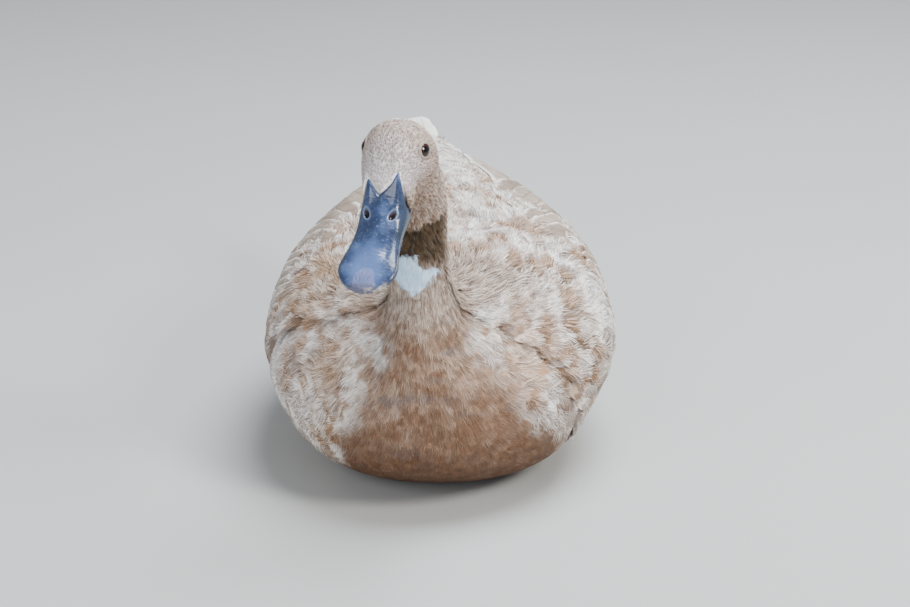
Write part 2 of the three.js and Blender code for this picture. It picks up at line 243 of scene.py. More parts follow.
# %% Lie of the coat
def potential(points, edges, held, held_values):
    """Values at the vertices: fixed where held, and the mean of their neighbours elsewhere."""
    count = len(points)
    both = np.vstack([edges, edges[:, ::-1]])
    both = both[np.argsort(both[:, 0], kind="stable")]
    starts = np.searchsorted(both[:, 0], np.arange(count))
    degree = np.bincount(both[:, 0], minlength=count).astype(float)
    free = ~held

    def spread(values):
        around = np.add.reduceat(values[both[:, 1]], starts)
        return np.where(free, degree * values - around, 0.0)

    values = np.where(held, held_values, 0.5)
    residual = -spread(values)
    step = residual / degree
    old = residual @ step
    direction = step.copy()
    for turn in range(1500):
        pushed = spread(direction)
        size = old / (direction @ pushed)
        values += size * direction
        residual -= size * pushed
        step = residual / degree
        new = residual @ step
        if new < 1e-10:
            break
        direction = step + (new / old) * direction
        old = new
    print("lie of the coat settled in", turn, "turns")
    return values


def slopes(points, edges, normals, values):
    """Unit vectors along the skin, uphill in values."""
    a, b = edges[:, 0], edges[:, 1]
    along = points[b] - points[a]
    rise = (values[b] - values[a]) / np.maximum((along ** 2).sum(1), 1e-12)
    push = along * rise[:, None]
    total = np.stack(
        [np.bincount(a, push[:, k], len(points)) + np.bincount(b, push[:, k], len(points)) for k in range(3)],
        axis=1,
    )
    total -= normals * (total * normals).sum(1)[:, None]
    return total / np.maximum(np.linalg.norm(total, axis=1), 1e-12)[:, None]


skin_points = vertex_array(skin.data)
skin_normals = vertex_array(skin.data, "normal")
skin_edges = mesh_edges(skin.data)
local = in_head(skin_points)
at_bill = (local[:, 0] > 21) & (np.abs(local[:, 1]) < 18) & (np.abs(local[:, 2] + 12) < 22)
at_tail = skin_points[:, 1] > TAIL_FLESH_Y - 4 * MM
climb = potential(skin_points, skin_edges, at_bill | at_tail, np.where(at_tail, 1.0, 0.0))
lie = slopes(skin_points, skin_edges, skin_normals, climb)
for turn in range(12):
    a, b = skin_edges[:, 0], skin_edges[:, 1]
    lie += np.stack(
        [np.bincount(a, lie[b, k], len(lie)) + np.bincount(b, lie[a, k], len(lie)) for k in range(3)], axis=1
    )
    lie -= skin_normals * (lie * skin_normals).sum(1)[:, None]
    lie /= np.maximum(np.linalg.norm(lie, axis=1), 1e-12)[:, None]

# %% [markdown]
# ## Where feathers root
# Roots are scattered by area with no two closer than the spacing that the place asks for. Each
# root keeps its place, its normal, the lie there, and its spot on an unwrap of the skin.

# %% An unwrap of the skin
bpy.context.view_layer.objects.active = skin
skin.select_set(True)
skin.data.uv_layers.new(name="OFBake")
bpy.ops.object.mode_set(mode="EDIT")
bpy.ops.mesh.select_all(action="SELECT")
bpy.ops.uv.smart_project(angle_limit=math.radians(66), island_margin=0.003)
bpy.ops.object.mode_set(mode="OBJECT")

# %% Scattered roots
skin.data.calc_loop_triangles()
triangles = np.empty(len(skin.data.loop_triangles) * 3, dtype=np.int64)
skin.data.loop_triangles.foreach_get("vertices", triangles)
triangles = triangles.reshape(-1, 3)
corners = np.empty(len(skin.data.loop_triangles) * 3, dtype=np.int64)
skin.data.loop_triangles.foreach_get("loops", corners)
corners = corners.reshape(-1, 3)
skin_uv = np.empty(len(skin.data.loops) * 2)
skin.data.uv_layers["OFBake"].data.foreach_get("uv", skin_uv)
skin_uv = skin_uv.reshape(-1, 2)
skin_tree = BVHTree.FromPolygons(skin_points.tolist(), triangles.tolist())


def chest_share(points):
    """1 on the warm breast, which is wide at its foot and narrows up to the neck."""
    x, y, z = points.T
    half = ramp(z, [(0.036, 0.066), (0.100, 0.026)])
    middle = ramp(z, [(0.036, 0.008), (0.100, -0.009)])
    across = 1 - smooth_step(np.abs(x - middle), half - 0.008, half + 0.014)
    return across * (1 - smooth_step(y, -0.070, -0.030)) * (1 - smooth_step(z, 0.112, 0.140))


def head_distance(points):
    return np.linalg.norm(in_head(points) - np.array([0.0, 0, -8]), axis=1)


def swirled(points, way, normal):
    """Loose feathers on flanks and shoulders lie in slow waves."""
    wave = sum(
        np.sin(points @ (np.array(axis) * 2 * math.pi / reach) + start)
        for axis, reach, start in (
            ((0.8, 0.5, 0.3), 0.058, 0.4), ((-0.4, 0.7, 0.6), 0.041, 2.1), ((0.3, -0.5, 0.8), 0.031, 4.4),
        )
    ) / 3
    loose = smooth_step(head_distance(points), 75, 130) * (1 - chest_share(points))
    loose = loose * (1 - 0.6 * smooth_step(points[:, 1], 0.08, 0.16))
    angle = (wave * 0.62 * loose)[:, None]
    return way * np.cos(angle) + np.cross(normal, way) * np.sin(angle)


def scatter(spacing, wanted, crowding=1.5):
    """Roots over the skin: spacing and wanted give, for an array of points, metres and yes or no."""
    a, b, c = (skin_points[triangles[:, k]] for k in range(3))
    area = 0.5 * np.linalg.norm(np.cross(b - a, c - a), axis=1)
    middle = (a + b + c) / 3
    gap = spacing(middle)
    weight = np.where(wanted(middle), area * crowding / gap ** 2, 0.0)
    count = int(weight.sum())
    chosen = rng.choice(len(triangles), size=count, p=weight / weight.sum())
    share = rng.random((count, 2))
    share = np.where((share.sum(1) > 1)[:, None], 1 - share, share)
    mix = np.stack([1 - share.sum(1), share[:, 0], share[:, 1]], axis=1)

    def blend(values, index):
        return (values[index[chosen]] * mix[:, :, None]).sum(1)

    points = blend(skin_points, triangles)
    gaps = spacing(points)
    keep = []
    cells = {}
    cell = gaps.max()
    for i, (spot, gap_here) in enumerate(zip(points, gaps)):
        key = tuple((spot // cell).astype(int))
        near = [
            j for dx in (-1, 0, 1) for dy in (-1, 0, 1) for dz in (-1, 0, 1)
            for j in cells.get((key[0] + dx, key[1] + dy, key[2] + dz), ())
        ]
        if near and ((points[near] - spot) ** 2).sum(1).min() < (0.72 * gap_here) ** 2:
            continue
        cells.setdefault(key, []).append(i)
        keep.append(i)
    keep = np.array(keep)
    normal = blend(skin_normals, triangles)[keep]
    way = swirled(points[keep], blend(lie, triangles)[keep], normal)
    normal /= np.linalg.norm(normal, axis=1)[:, None]
    way -= normal * (way * normal).sum(1)[:, None]
    way /= np.maximum(np.linalg.norm(way, axis=1), 1e-9)[:, None]
    return {"point": points[keep], "normal": normal, "way": way, "uv": blend(skin_uv, corners)[keep]}


# %% [markdown]
# ## Shader values as Python expressions
# A small class wraps one output of a material's nodes, so that marks are written as sums and
# products. `node` makes any other node: its settings are set first, then its sockets.

# %% Shader helper
class Value:
    """One output socket of a finish. Arithmetic on it adds Math nodes."""

    def __init__(self, finish, socket):
        self.finish = finish
        self.socket = socket

    def math(self, operation, *others, clamp=False):
        settings = {"operation": operation, "use_clamp": clamp}
        return self.finish.node("ShaderNodeMath", settings, dict(enumerate((self, *others))))

    def __add__(self, other):
        return self.math("ADD", other)

    def __sub__(self, other):
        return self.math("SUBTRACT", other)

    def __mul__(self, other):
        return self.math("MULTIPLY", other)

    def __truediv__(self, other):
        return self.math("DIVIDE", other)

    def __rsub__(self, other):
        return self.finish.node("ShaderNodeMath", {"operation": "SUBTRACT"}, {0: other, 1: self})

    __radd__ = __add__
    __rmul__ = __mul__

    def step(self, low, high):
        """Smoothly 0 to 1 while this value goes from low to high."""
        sockets = {"Value": self, "From Min": low, "From Max": high}
        return self.finish.node("ShaderNodeMapRange", {"interpolation_type": "SMOOTHSTEP"}, sockets)

    def node_range(self, low, high):
        """0 to 1, straight, while this value goes from low to high."""
        return self.finish.node("ShaderNodeMapRange", None, {"Value": self, "From Min": low, "From Max": high})

    def both(self, other):
        return self.math("MINIMUM", other)

    def either(self, other):
        return self.math("MAXIMUM", other)


class Finish:
    """A material with one Principled shader, and ways to feed it."""

    def __init__(self, name, roughness=0.5, **settings):
        self.material = bpy.data.materials.new(name)
        self.material.use_nodes = True
        self.tree = self.material.node_tree
        self.tree.nodes.clear()
        self.shader = self.tree.nodes.new("ShaderNodeBsdfPrincipled")
        output = self.tree.nodes.new("ShaderNodeOutputMaterial")
        self.tree.links.new(self.shader.outputs[0], output.inputs[0])
        self.shader.inputs["Roughness"].default_value = roughness
        for socket, value in settings.items():
            self.shader.inputs[socket.replace("_", " ")].default_value = value

    def put(self, socket, value):
        if isinstance(value, Value):
            self.tree.links.new(value.socket, socket)
        else:
            socket.default_value = value

    def node(self, kind, settings=None, sockets=None, out=0):
        made = self.tree.nodes.new(kind)
        for name, value in (settings or {}).items():
            if name == "stops":
                stops = made.color_ramp.elements
                while len(stops) < len(value):
                    stops.new(0.5)
                for stop, (place, colour) in zip(stops, value):
                    stop.position = place
                    stop.color = (*colour, 1)
            else:
                setattr(made, name, value)
        for name, value in (sockets or {}).items():
            self.put(made.inputs[name], value)
        return Value(self, made.outputs[out])

    def feed(self, socket, value):
        self.put(self.shader.inputs[socket], value)

    def vector(self, operation, *vectors, out=0, **sockets):
        sockets = {**dict(enumerate(vectors)), **sockets}
        return self.node("ShaderNodeVectorMath", {"operation": operation}, sockets, out)

    def mix(self, share, first, second):
        first, second = (c if isinstance(c, Value) else (*c, 1) for c in (first, second))
        made = {"data_type": "RGBA", "clamp_factor": True}
        return self.node("ShaderNodeMix", made, {0: share, 6: first, 7: second}, out=2)

    def mix_vectors(self, share, first, second):
        return self.node("ShaderNodeMix", {"data_type": "VECTOR"}, {0: share, 4: first, 5: second}, out=1)

    def noise(self, place, scale, detail=2.0, roughness=0.5, distortion=0.0):
        sockets = {"Vector": place, "Scale": scale, "Detail": detail, "Roughness": roughness,
                   "Distortion": distortion}
        return self.node("ShaderNodeTexNoise", None, sockets)

    def attribute(self, name, out=2):
        return self.node("ShaderNodeAttribute", {"attribute_name": name}, out=out)

    def spot(self):
        """Where on the object a point is, in metres."""
        return self.node("ShaderNodeTexCoord", out=3)

    def bump(self, height, distance, strength=1.0, normal=None):
        sockets = {"Strength": strength, "Distance": distance, "Height": height}
        if normal is not None:
            sockets["Normal"] = normal
        self.feed("Normal", self.node("ShaderNodeBump", None, sockets))


def srgb(red, green, blue):
    """A colour as a screen gives it, 0 to 255, turned to the linear numbers that shaders use."""
    return tuple(((c / 255 + 0.055) / 1.055) ** 2.4 if c > 10 else c / 3295 for c in (red, green, blue))


# %% [markdown]
# ## The markings
# The skin and the coat carry the same markings, and the same painted shadow of the head on the
# throat, so they are one function of place. On the coat that place is the root of each feather,
# which gives a whole feather one colour.

# %% Markings
def head_axis(finish, place, row, grow=1.0):
    """One coordinate of the head's frame, in millimetres, at a place in metres."""
    axis = tuple(to_head[row][:3])
    return finish.vector("DOT_PRODUCT", place, axis, out=1) + to_head[row][3]


# soft patches of the body: centre and reach in millimetres, colour, and how strongly it tells
PATCHES = [
    ((-76, -42, 114), 26, (150, 122, 90), 0.75), ((-66, -96, 84), 18, (172, 142, 116), 0.55),
    ((-103, -42, 70), 26, (238, 232, 226), 0.70), ((24, -62, 133), 18, (180, 134, 100), 0.75),
    ((62, 10, 137), 17, (142, 116, 96), 0.80), ((46, 62, 142), 17, (242, 238, 234), 0.85),
    ((54, -60, 125), 13, (244, 240, 236), 0.85), ((19, 1, 147), 8, (118, 110, 110), 0.80),
    ((98, -25, 100), 28, (240, 236, 232), 0.75), ((50, -108, 88), 20, (184, 140, 110), 0.65),
    ((-88, 10, 122), 16, (196, 182, 168), 0.50), ((84, -40, 62), 15, (176, 160, 150), 0.60),
]


def patched(f, place, body, wander):
    for spot, reach, colour, share in PATCHES:
        away = f.vector("DISTANCE", place, tuple(v * MM for v in spot), out=1) + wander
        body = f.mix(away.step(reach * 1.3 * MM, reach * 0.6 * MM) * share, body, srgb(*colour))
    return body


def markings_and_throat_shadow(f, place):
    """The plumage's colour at a place, with the head's shadow on the throat painted in, and where it is plain white."""
    x, y, z = (f.node("ShaderNodeSeparateXYZ", None, {0: place}, out=k) for k in range(3))
    forward, side, up = (head_axis(f, place, row) for row in range(3))
    away = f.vector("LENGTH", f.node("ShaderNodeCombineXYZ", None, {0: forward + 2, 1: side, 2: up + 9}), out=1)
    stretched = f.vector("MULTIPLY", place, (1, 0.62, 1))
    patch = f.noise(stretched, 66, 2.5, 0.6, 0.8).step(0.42, 0.58)
    second = f.noise(stretched, 92, 2.0, 0.55, 0.6).step(0.55, 0.66)
    fine = f.noise(place, 260, 2.0).step(0.35, 0.65)
    broad = f.noise(place, 23, 1.5).step(0.38, 0.62)
    wander = f.noise(place, 34, 2.0) * 0.030 - 0.015
    body = f.mix(patch, srgb(250, 246, 242), srgb(154, 122, 96))
    body = patched(f, place, body, wander)
    body = f.mix(second * 0.65, body, srgb(116, 104, 104))
    body = f.mix(broad * (0.30 + fine * 0.25), body, srgb(164, 130, 102))
    rear = y.step(0.09, 0.18)
    pale = f.mix(patch * 0.5, srgb(238, 232, 224), srgb(196, 176, 152))
    body = f.mix(rear, body, pale)
    belly = z.step(0.040, 0.010)
    body = f.mix(belly * 0.5, body, srgb(198, 176, 150))
    rise = z.node_range(0.036, 0.100)
    half = 0.066 - rise * 0.040
    middle = 0.008 - rise * 0.017
    reach = (x - middle).math("ABSOLUTE") - half + wander
    chest = reach.step(0.013, -0.009).both(y.step(-0.028, -0.066)).both(z.step(0.150, 0.125))
    warm = f.mix(fine, srgb(120, 90, 68), srgb(152, 120, 96))
    warm = f.mix(patch * 0.45, warm, srgb(184, 158, 138))
    slate = f.noise(f.vector("MULTIPLY", place, (0.5, 1, 1.6)), 62, 2.0).step(0.54, 0.66)
    warm = f.mix(slate * 0.65, warm, srgb(108, 102, 104))
    rows = f.noise(f.vector("MULTIPLY", place, (0.7, 1, 2.4)), 96, 2.0).step(0.50, 0.62)
    warm = f.mix(rows * 0.45, warm, srgb(100, 62, 40))
    warm = f.mix(z.step(0.090, 0.020) * 0.80, warm, f.mix(fine, srgb(82, 50, 28), srgb(110, 74, 46)))
    body = f.mix(chest, body, warm)
    collar = z.step(0.104, 0.128).both(y.step(-0.040, -0.058))
    neck = f.mix(fine, srgb(140, 120, 106), srgb(182, 164, 150))
    body = f.mix(collar, body, neck)
    jaw = away.step(49, 45).both(up.step(-49.5, -46))
    # The dark throat below the bill: its own dark brown feathers, with the head's shadow on them painted in as colour.
    throat_and_head_shadow = (x + 0.019).math("ABSOLUTE").step(0.024, 0.018).both(y.step(-0.094, -0.104))
    throat_and_head_shadow = throat_and_head_shadow.both(z.step(0.146, 0.160)).both(z.step(0.196, 0.186))
    body = f.mix(throat_and_head_shadow * 0.95, body, f.mix(fine, srgb(38, 26, 8), srgb(72, 54, 26)))
    fleck = f.noise(place, 620, 1.5).step(0.35, 0.65)
    head = f.mix(fleck, srgb(146, 122, 108), srgb(204, 188, 176))
    brow = forward.step(-8, 16).both(up.step(-16, -2))
    head = f.mix(brow * 0.65, head, srgb(228, 219, 224))
    cheek = forward.step(-10, 14).both(up.step(-8, -17))
    head = f.mix(cheek * 0.6, head, f.mix(fleck, srgb(124, 92, 72), srgb(172, 144, 122)))
    body = f.mix(jaw, body, head)
    rim = bill_line(f, forward, side) * away.step(46, 40)
    body = f.mix(rim, body, srgb(254, 250, 246))
    return body, bib_mask(f, x, z) * y.step(-0.095, -0.105)


def bill_line(f, forward, side):
    """A narrow white fringe where feathers end at the bill: a V on the forehead, slanting at the cheeks."""
    off = (side + 2.0).math("ABSOLUTE")
    brow = 30.2 - off * 0.72 - off * off * 0.034
    cheek = off * 2.6 - 7.0
    line = brow.either(cheek).both(30.2)
    return (forward - line).step(-3.7, -2.5) * forward.step(14, 17)


def bib_mask(f, x, z):
    """A white patch on the front of the neck: two lobes above, and a point at its foot."""
    ragged = f.noise(f.node("ShaderNodeCombineXYZ", None, {0: x, 2: z}), 300, 1.0) * 0.005 - 0.0025
    across = (x + 0.0158).math("ABSOLUTE")
    low = 0.1357 + across * 0.86 + ragged
    lobe = x.step(-0.0118, -0.0138) * 0.0060
    high = 0.1528 + lobe - (x + 0.012).either(0) * 0.27 + ragged
    tall = (z - low).step(-0.0006, 0.0008).both((high - z).step(-0.0006, 0.0008))
    return tall.both((x + ragged).step(-0.0290, -0.0275))


plumage_skin = Finish("plumage_skin", 0.85)
place = plumage_skin.spot()
# The bib's white, with a blue tint of painted sky light.
SKY_TINTED_WHITE = srgb(212, 238, 255)
ground, white = markings_and_throat_shadow(plumage_skin, place)
plumage_skin.feed("Base Color", plumage_skin.mix(white, ground, SKY_TINTED_WHITE))
plumage_skin.bump(plumage_skin.noise(place, 900, 2.0), 0.0006, 0.5)


def coat_finish(name, fringe, pale_from, blotch, barbs, roughness=0.6):
    """A barb's colour: the place's marking, darker towards the root (the feather's darker base, with painted shade
    where feathers overlap), each barb a little its own, pale at the tip.
    """
    f = Finish(name, roughness, Specular_IOR_Level=0.25)
    root = f.attribute("root", out=1)
    lay = f.attribute("lay", out=1)
    along, tone = f.attribute("along"), f.attribute("tone")
    edge, streak = f.attribute("edge"), f.attribute("streak")
    own, white = markings_and_throat_shadow(f, root)
    lightness = f.vector("DOT_PRODUCT", own, (0.3, 0.6, 0.1), out=1)
    # Darker towards the root: partly the feathers' darker bases, partly painted shade where the feathers overlap. The
    # same dark colour also darkens single barbs into streaks.
    under = f.mix(lightness.step(0.02, 0.12), srgb(34, 24, 10), srgb(92, 72, 56))
    deep = f.mix(along.step(0.68, 0.15) * 0.70, own, under)
    toned = f.mix(tone.step(0.45, 0.0) * blotch, deep, srgb(112, 84, 62))
    toned = f.mix(tone.step(0.70, 1.0) * blotch * 0.8, toned, srgb(228, 220, 212))
    toned = f.mix(streak.step(0.38, 0.10) * 0.62, toned, f.mix(lightness.step(0.02, 0.12), under, srgb(76, 54, 38)))
    tip = f.vector("MINIMUM", f.vector("MULTIPLY", own, (1.9, 1.8, 1.7)), (0.95, 0.93, 0.91))
    tip = f.mix(lightness.step(0.06, 0.50) * 0.60, tip, srgb(255, 251, 246))
    toned = f.mix(streak.step(0.66, 0.80) * barbs, toned, tip)
    pale = along.step(pale_from, 0.95) * (streak.step(0.45, 0.70) * 0.80 + edge * 0.20)
    toned = f.mix(pale * fringe, toned, tip)
    # On the bib, bluer and darker on some barbs and towards the roots: painted shade and sky light.
    shade = f.mix(streak.step(0.5, 0.1) * 0.4, SKY_TINTED_WHITE, srgb(150, 186, 226))
    shade = f.mix(along.step(0.55, 0.10), shade, srgb(160, 178, 200))
    f.feed("Base Color", f.mix(white, toned, shade))
    flat = f.node("ShaderNodeNewGeometry", out=1)
    f.feed("Normal", f.vector("NORMALIZE", f.mix_vectors(0.38, flat, lay)))
    return f


coat_face = coat_finish("coat_face", 0.60, 0.50, 0.16, 0.2)
coat_short = coat_finish("coat_short", 0.80, 0.56, 0.12, 0.35)
coat_loose = coat_finish("coat_loose", 0.9, 0.76, 0.60, 0.6)
print("markings made")

# %% [markdown]
# ## A tuft
# One contour feather shows as a fan of narrow barbs: they leave the quill close together, spread
# to a round edge, and taper to points. A few seeded variants of the fan are made once.

# %% Fans of barbs
def barb(points, faces, marks, root, middle, tip, width, stack, segments, u, streak):
    """Adds one blade along a curve: about even in width, then tapering to a point."""
    first = len(points)
    for j in range(segments + 1):
        t = j / segments
        spot = (1 - t) ** 2 * root + 2 * t * (1 - t) * middle + t * t * tip
        half = 0.5 * width * (1 - t ** 2.4) * (0.7 + 0.6 * t)
        for s in (-1, 1) if j < segments else (0,):
            points.append((spot[0], spot[1] + s * half, stack * (0.4 + 0.6 * t)))
            marks.append((spot[0], abs(u), streak))
    for j in range(segments - 1):
        a = first + 2 * j
        faces.append((a, a + 1, a + 3))
        faces.append((a, a + 3, a + 2))
    a = first + 2 * (segments - 1)
    faces.append((a, a + 1, a + 2))


def fan(barbs, segments, spread, width, seed, ragged=0.14, bend=0.12, start=0.05):
    """Points (along, across, lift) of one feather of length 1, with its faces and its marks."""
    dice = np.random.default_rng(seed)
    points, faces, marks = [], [], []
    for k in range(barbs):
        u = 0.0 if barbs == 1 else 2 * (k + dice.uniform(-0.3, 0.3)) / (barbs - 1) - 1
        root = np.array([start + 0.20 * u * u + dice.uniform(0, 0.08), u * spread * 0.30])
        reach = 1 - 0.32 * abs(u) ** 2.2 - dice.uniform(0, ragged)
        tip = np.array([reach, u * spread + dice.normal(0, bend * 0.35)])
        middle = np.array([0.5 * (root[0] + tip[0]), 0.66 * tip[1] + 0.34 * root[1] + dice.normal(0, bend * 0.35)])
        stack = -0.6 * u * u + dice.uniform(-0.35, 0.35)
        barb(points, faces, marks, root, middle, tip, width, stack, segments, u, dice.random())
    return np.array(points), np.array(faces), np.array(marks)


def plume(barbs, spread, width, seed, rows=5):
    """A loose contour feather: a smooth web in the middle, and a deep fringe of free barbs round it."""
    dice = np.random.default_rng(seed)
    points, faces, marks = [], [], []
    for j in range(rows + 1):
        t = j / rows
        along = 0.02 + 0.74 * t
        half = 0.80 * spread * (0.25 + 0.75 * min(t / 0.5, 1) ** 0.7) * math.sqrt(max(1 - max(t - 0.5, 0) ** 2 * 3.2, 0))
        for s in (-1, -0.5, 0, 0.5, 1):
            points.append((along - 0.10 * s * s, s * half, -0.9 * s * s - 0.5))
            marks.append((along * 0.8, abs(s) * 0.5, 0.4))
    for j in range(rows):
        for k in range(4):
            a = 5 * j + k
            faces.append((a, a + 1, a + 6))
            faces.append((a, a + 6, a + 5))
    for k in range(barbs):
        u = 2 * (k + dice.uniform(-0.3, 0.3)) / (barbs - 1) - 1
        root = np.array([0.30 + 0.26 * (1 - abs(u)) + dice.uniform(-0.08, 0.08), 0.52 * u * spread])
        reach = 1 - 0.30 * abs(u) ** 2.0 - dice.uniform(0, 0.13)
        tip = np.array([reach, u * spread * 1.05 + dice.normal(0, 0.035)])
        middle = np.array([0.45 * root[0] + 0.55 * tip[0], 0.7 * tip[1] + 0.3 * root[1] + dice.normal(0, 0.03)])
        stack = -0.7 * u * u + dice.uniform(-0.4, 0.5)
        barb(points, faces, marks, root, middle, tip, width, stack, 3, u, dice.random())
    return np.array(points), np.array(faces), np.array(marks)


def heights(points):
    """How far points stand over the skin, and the skin's normal under them."""
    over = np.empty(len(points))
    for i, p in enumerate(points.tolist()):
        spot, normal, _, _ = skin_tree.find_nearest(p)
        over[i] = (Vector(p) - spot).dot(normal)
    return over


def lay_feathers(name, roots, length, wide, depth, fans, finish, slot, curl=0.16, turn=0.15, sink=0.4):
    """Lays one of the fans at every root, bent to hug the skin, and joins them to one mesh."""
    count = len(roots["point"])
    size = length(roots["point"]) * rng.uniform(0.86, 1.14, count)
    broad = wide * size
    high = depth(roots["point"]) * rng.uniform(0.80, 1.08, count)
    normal, way = roots["normal"], roots["way"]
    angle = rng.normal(0, turn, count)[:, None]
    across = np.cross(normal, way)
    way = way * np.cos(angle) + across * np.sin(angle)
    across = np.cross(normal, way)
    root = roots["point"]
    seen = root + way * size[:, None] * 0.62
    half = 0.5 * size[:, None]
    drop_mid = heights(root + way * half)
    drop_tip = heights(root + way * size[:, None])
    reach = 0.3 * broad[:, None]
    drop_left = heights(root + way * half + across * reach)
    drop_right = heights(root + way * half - across * reach)
    kinds = rng.integers(0, len(fans), count)
    bow = rng.normal(0, curl, count)
    tone = rng.random(count)
    blocks = []
    start = 0
    for kind, (shape, faces, marks) in enumerate(fans):
        who = np.nonzero(kinds == kind)[0]
        n, m = len(who), len(shape)
        t, s, stack = (shape[None, :, k] for k in range(3))
        L, W, H = (v[who][:, None] for v in (size, broad, high))
        side = s + bow[who][:, None] * t * t * 0.6
        one, two = drop_mid[who][:, None], drop_tip[who][:, None]
        # the drop through mid-length and tip, as a curve of second order, and one across
        second = 2 * two - 4 * one
        first = 4 * one - two
        fall = np.clip(first * t + second * t * t, -0.30 * L, 0.30 * L)
        left, right = (v[who][:, None] - one for v in (drop_left, drop_right))
        grown = np.minimum(2 * t, 1)
        fall = fall + grown * ((left + right) * side ** 2 / 0.18 + (left - right) * side / 0.6)
        lift = H * (1 - (1 - np.clip(t, 0, 1)) ** 2.2) + stack * 0.00035 - sink * MM * (1 - np.clip(t, 0, 1))
        level = lift - fall
        place = (
            root[who][:, None, :]
            + way[who][:, None, :] * (t * L)[:, :, None]
            + across[who][:, None, :] * (side * W)[:, :, None]
            + normal[who][:, None, :] * level[:, :, None]
        )
        # the floor presses the belly's feathers flat
        place[:, :, 2] = np.maximum(place[:, :, 2], 0.0004 + 0.15 * np.maximum(level, 0))
        patch = roots["uv"][who][:, None, :] + 0.003 * (
            np.stack([t + 0 * side, side * 0.5 + 0.5 + 0 * t], axis=2) - 0.5
        )
        blocks.append({
            "place": place.reshape(-1, 3),
            "faces": (faces[None] + start + np.arange(n)[:, None, None] * m).reshape(-1, 3),
            "uv": np.clip(patch, 0, 1).reshape(-1, 2),
            "root": np.repeat(seen[who], m, axis=0),
            "lay": np.repeat(normal[who], m, axis=0),
            "tone": np.repeat(tone[who], m),
            "along": np.tile(marks[:, 0], n),
            "edge": np.tile(marks[:, 1], n),
            "streak": (np.tile(marks[:, 2], n) + np.repeat(rng.random(n), m)) % 1.0,
        })
        start += n * m
    data = {key: np.concatenate([b[key] for b in blocks]) for key in blocks[0]}
    return joined_mesh(name, data, finish, slot)


def joined_mesh(name, data, finish, slot):
    """One mesh of many feathers, from arrays, with its map and the marks that its finish reads."""
    mesh = bpy.data.meshes.new(name)
    faces = data["faces"]
    mesh.vertices.add(len(data["place"]))
    mesh.vertices.foreach_set("co", data["place"].ravel())
    mesh.loops.add(faces.size)
    mesh.loops.foreach_set("vertex_index", faces.ravel())
    mesh.polygons.add(len(faces))
    mesh.polygons.foreach_set("loop_start", np.arange(len(faces)) * faces.shape[1])
    mesh.update(calc_edges=True)
    mesh.polygons.foreach_set("use_smooth", [True] * len(faces))
    mesh.uv_layers.new(name="OFBake").data.foreach_set("uv", data["uv"][faces.ravel()].ravel())
    for key in ("root", "lay"):
        mesh.attributes.new(key, "FLOAT_VECTOR", "POINT").data.foreach_set("vector", data[key].ravel())
    for key in [k for k in ("tone", "along", "edge", "streak") if k in data]:
        mesh.attributes.new(key, "FLOAT", "POINT").data.foreach_set("value", data[key])
    thing = bpy.data.objects.new(name, mesh)
    bpy.context.collection.objects.link(thing)
    dress(thing, finish.material, slot)
    print(name, len(faces), "faces")
    return thing


# %% [markdown]
# ## The coat
# Feathers are smallest on the face and largest on the back. The coat is laid in regions, so that
# each piece stays light: face, neck, breast, belly, back and flanks.

# %% Sizes of feathers over the body
def feather_length(points):
    """Metres: a few millimetres on the face, over 20 on the back."""
    chest = chest_share(points)
    size = ramp(head_distance(points), [(22, 3.2), (34, 4.4), (60, 7), (95, 9), (125, 13), (165, 22)])
    size = size * (1 - chest) + np.minimum(size, 11) * chest
    low = 1 - smooth_step(points[:, 2], 0.012, 0.045)
    rear = smooth_step(points[:, 1], 0.16, 0.22)
    size = size * (1 - low) + np.minimum(size, 14) * low
    return (size * (1 - rear) + 18 * rear) * MM


def feather_gap(points):
    rows = [(3.2, 1.15), (4.6, 1.4), (7, 1.8), (11, 2.3), (15, 3.8), (23, 6.0)]
    return ramp(feather_length(points) / MM, rows) * MM


def coat_rise(points):
    return coat_depth(points) * 1.0


def on_face(points):
    return head_distance(points) < 36


def on_neck(points):
    return ~on_face(points) & (points[:, 2] > 0.118) & (points[:, 1] < -0.048)


def on_chest(points):
    return ~on_face(points) & ~on_neck(points) & (chest_share(points) > 0.35)


def under_quills(points):
    """Where the firm feathers of the folded wings lie, and no loose ones grow."""
    x, y, z = points.T / MM
    out = np.abs(x) / ramp(y, [(2, 105), (60, 101), (110, 85), (150, 62), (196, 37)])
    low, high = ramp(y, [(92, 0), (150, 18), (196, 69)]), ramp(y, [(70, 149), (160, 138), (196, 132)])
    middle = low + 0.47 * (high - low)
    angle = np.degrees(np.arctan2((z - middle) / (high - middle), out))
    return (y > 42) & (y < 196) & (angle > 2) & (angle < 50)


def on_rest(points):
    return ~on_face(points) & ~on_neck(points) & ~on_chest(points) & ~under_quills(points)


def bill_border(across):
    """How far forward the feathers reach on the head, in its own frame: a V between the bill's horns."""
    off = np.abs(across + 2.0)
    return np.minimum(np.maximum(30.2 - off * 0.72 - off * off * 0.034, off * 2.6 - 7.0), 30.2)


def clear_of_bill(points):
    local = in_head(points)
    return local[:, 0] < bill_border(local[:, 1]) - 0.4


def clear_of_eyes(roots):
    """Leaves out feathers whose root or tip would lie on an eye."""
    keep = np.ones(len(roots["point"]), dtype=bool)
    axis = np.array(EYE_AXIS) / np.linalg.norm(EYE_AXIS)
    for side in (1, -1):
        flip = np.array([1, side, 1])
        lens = (np.array(EYE_PLACE) + axis * 4.5) * flip
        for share in (0.0, 0.5, 0.85):
            reach = feather_length(roots["point"])[:, None] * share
            local = in_head(roots["point"] + roots["way"] * reach)
            keep &= np.linalg.norm((local - lens) * (0.96, 1, 1.05), axis=1) > 3.95
    return {key: value[keep] for key, value in roots.items()}


face_fans = [fan(6, 2, 0.24, 0.075, seed) for seed in range(6)]
neck_fans = [fan(8, 3, 0.24, 0.055, seed) for seed in range(10, 16)]
chest_fans = [fan(14, 3, 0.30, 0.031, seed, ragged=0.22) for seed in range(20, 28)]
loose_plumes = [plume(30, 0.36, 0.024, seed) for seed in range(30, 40)]

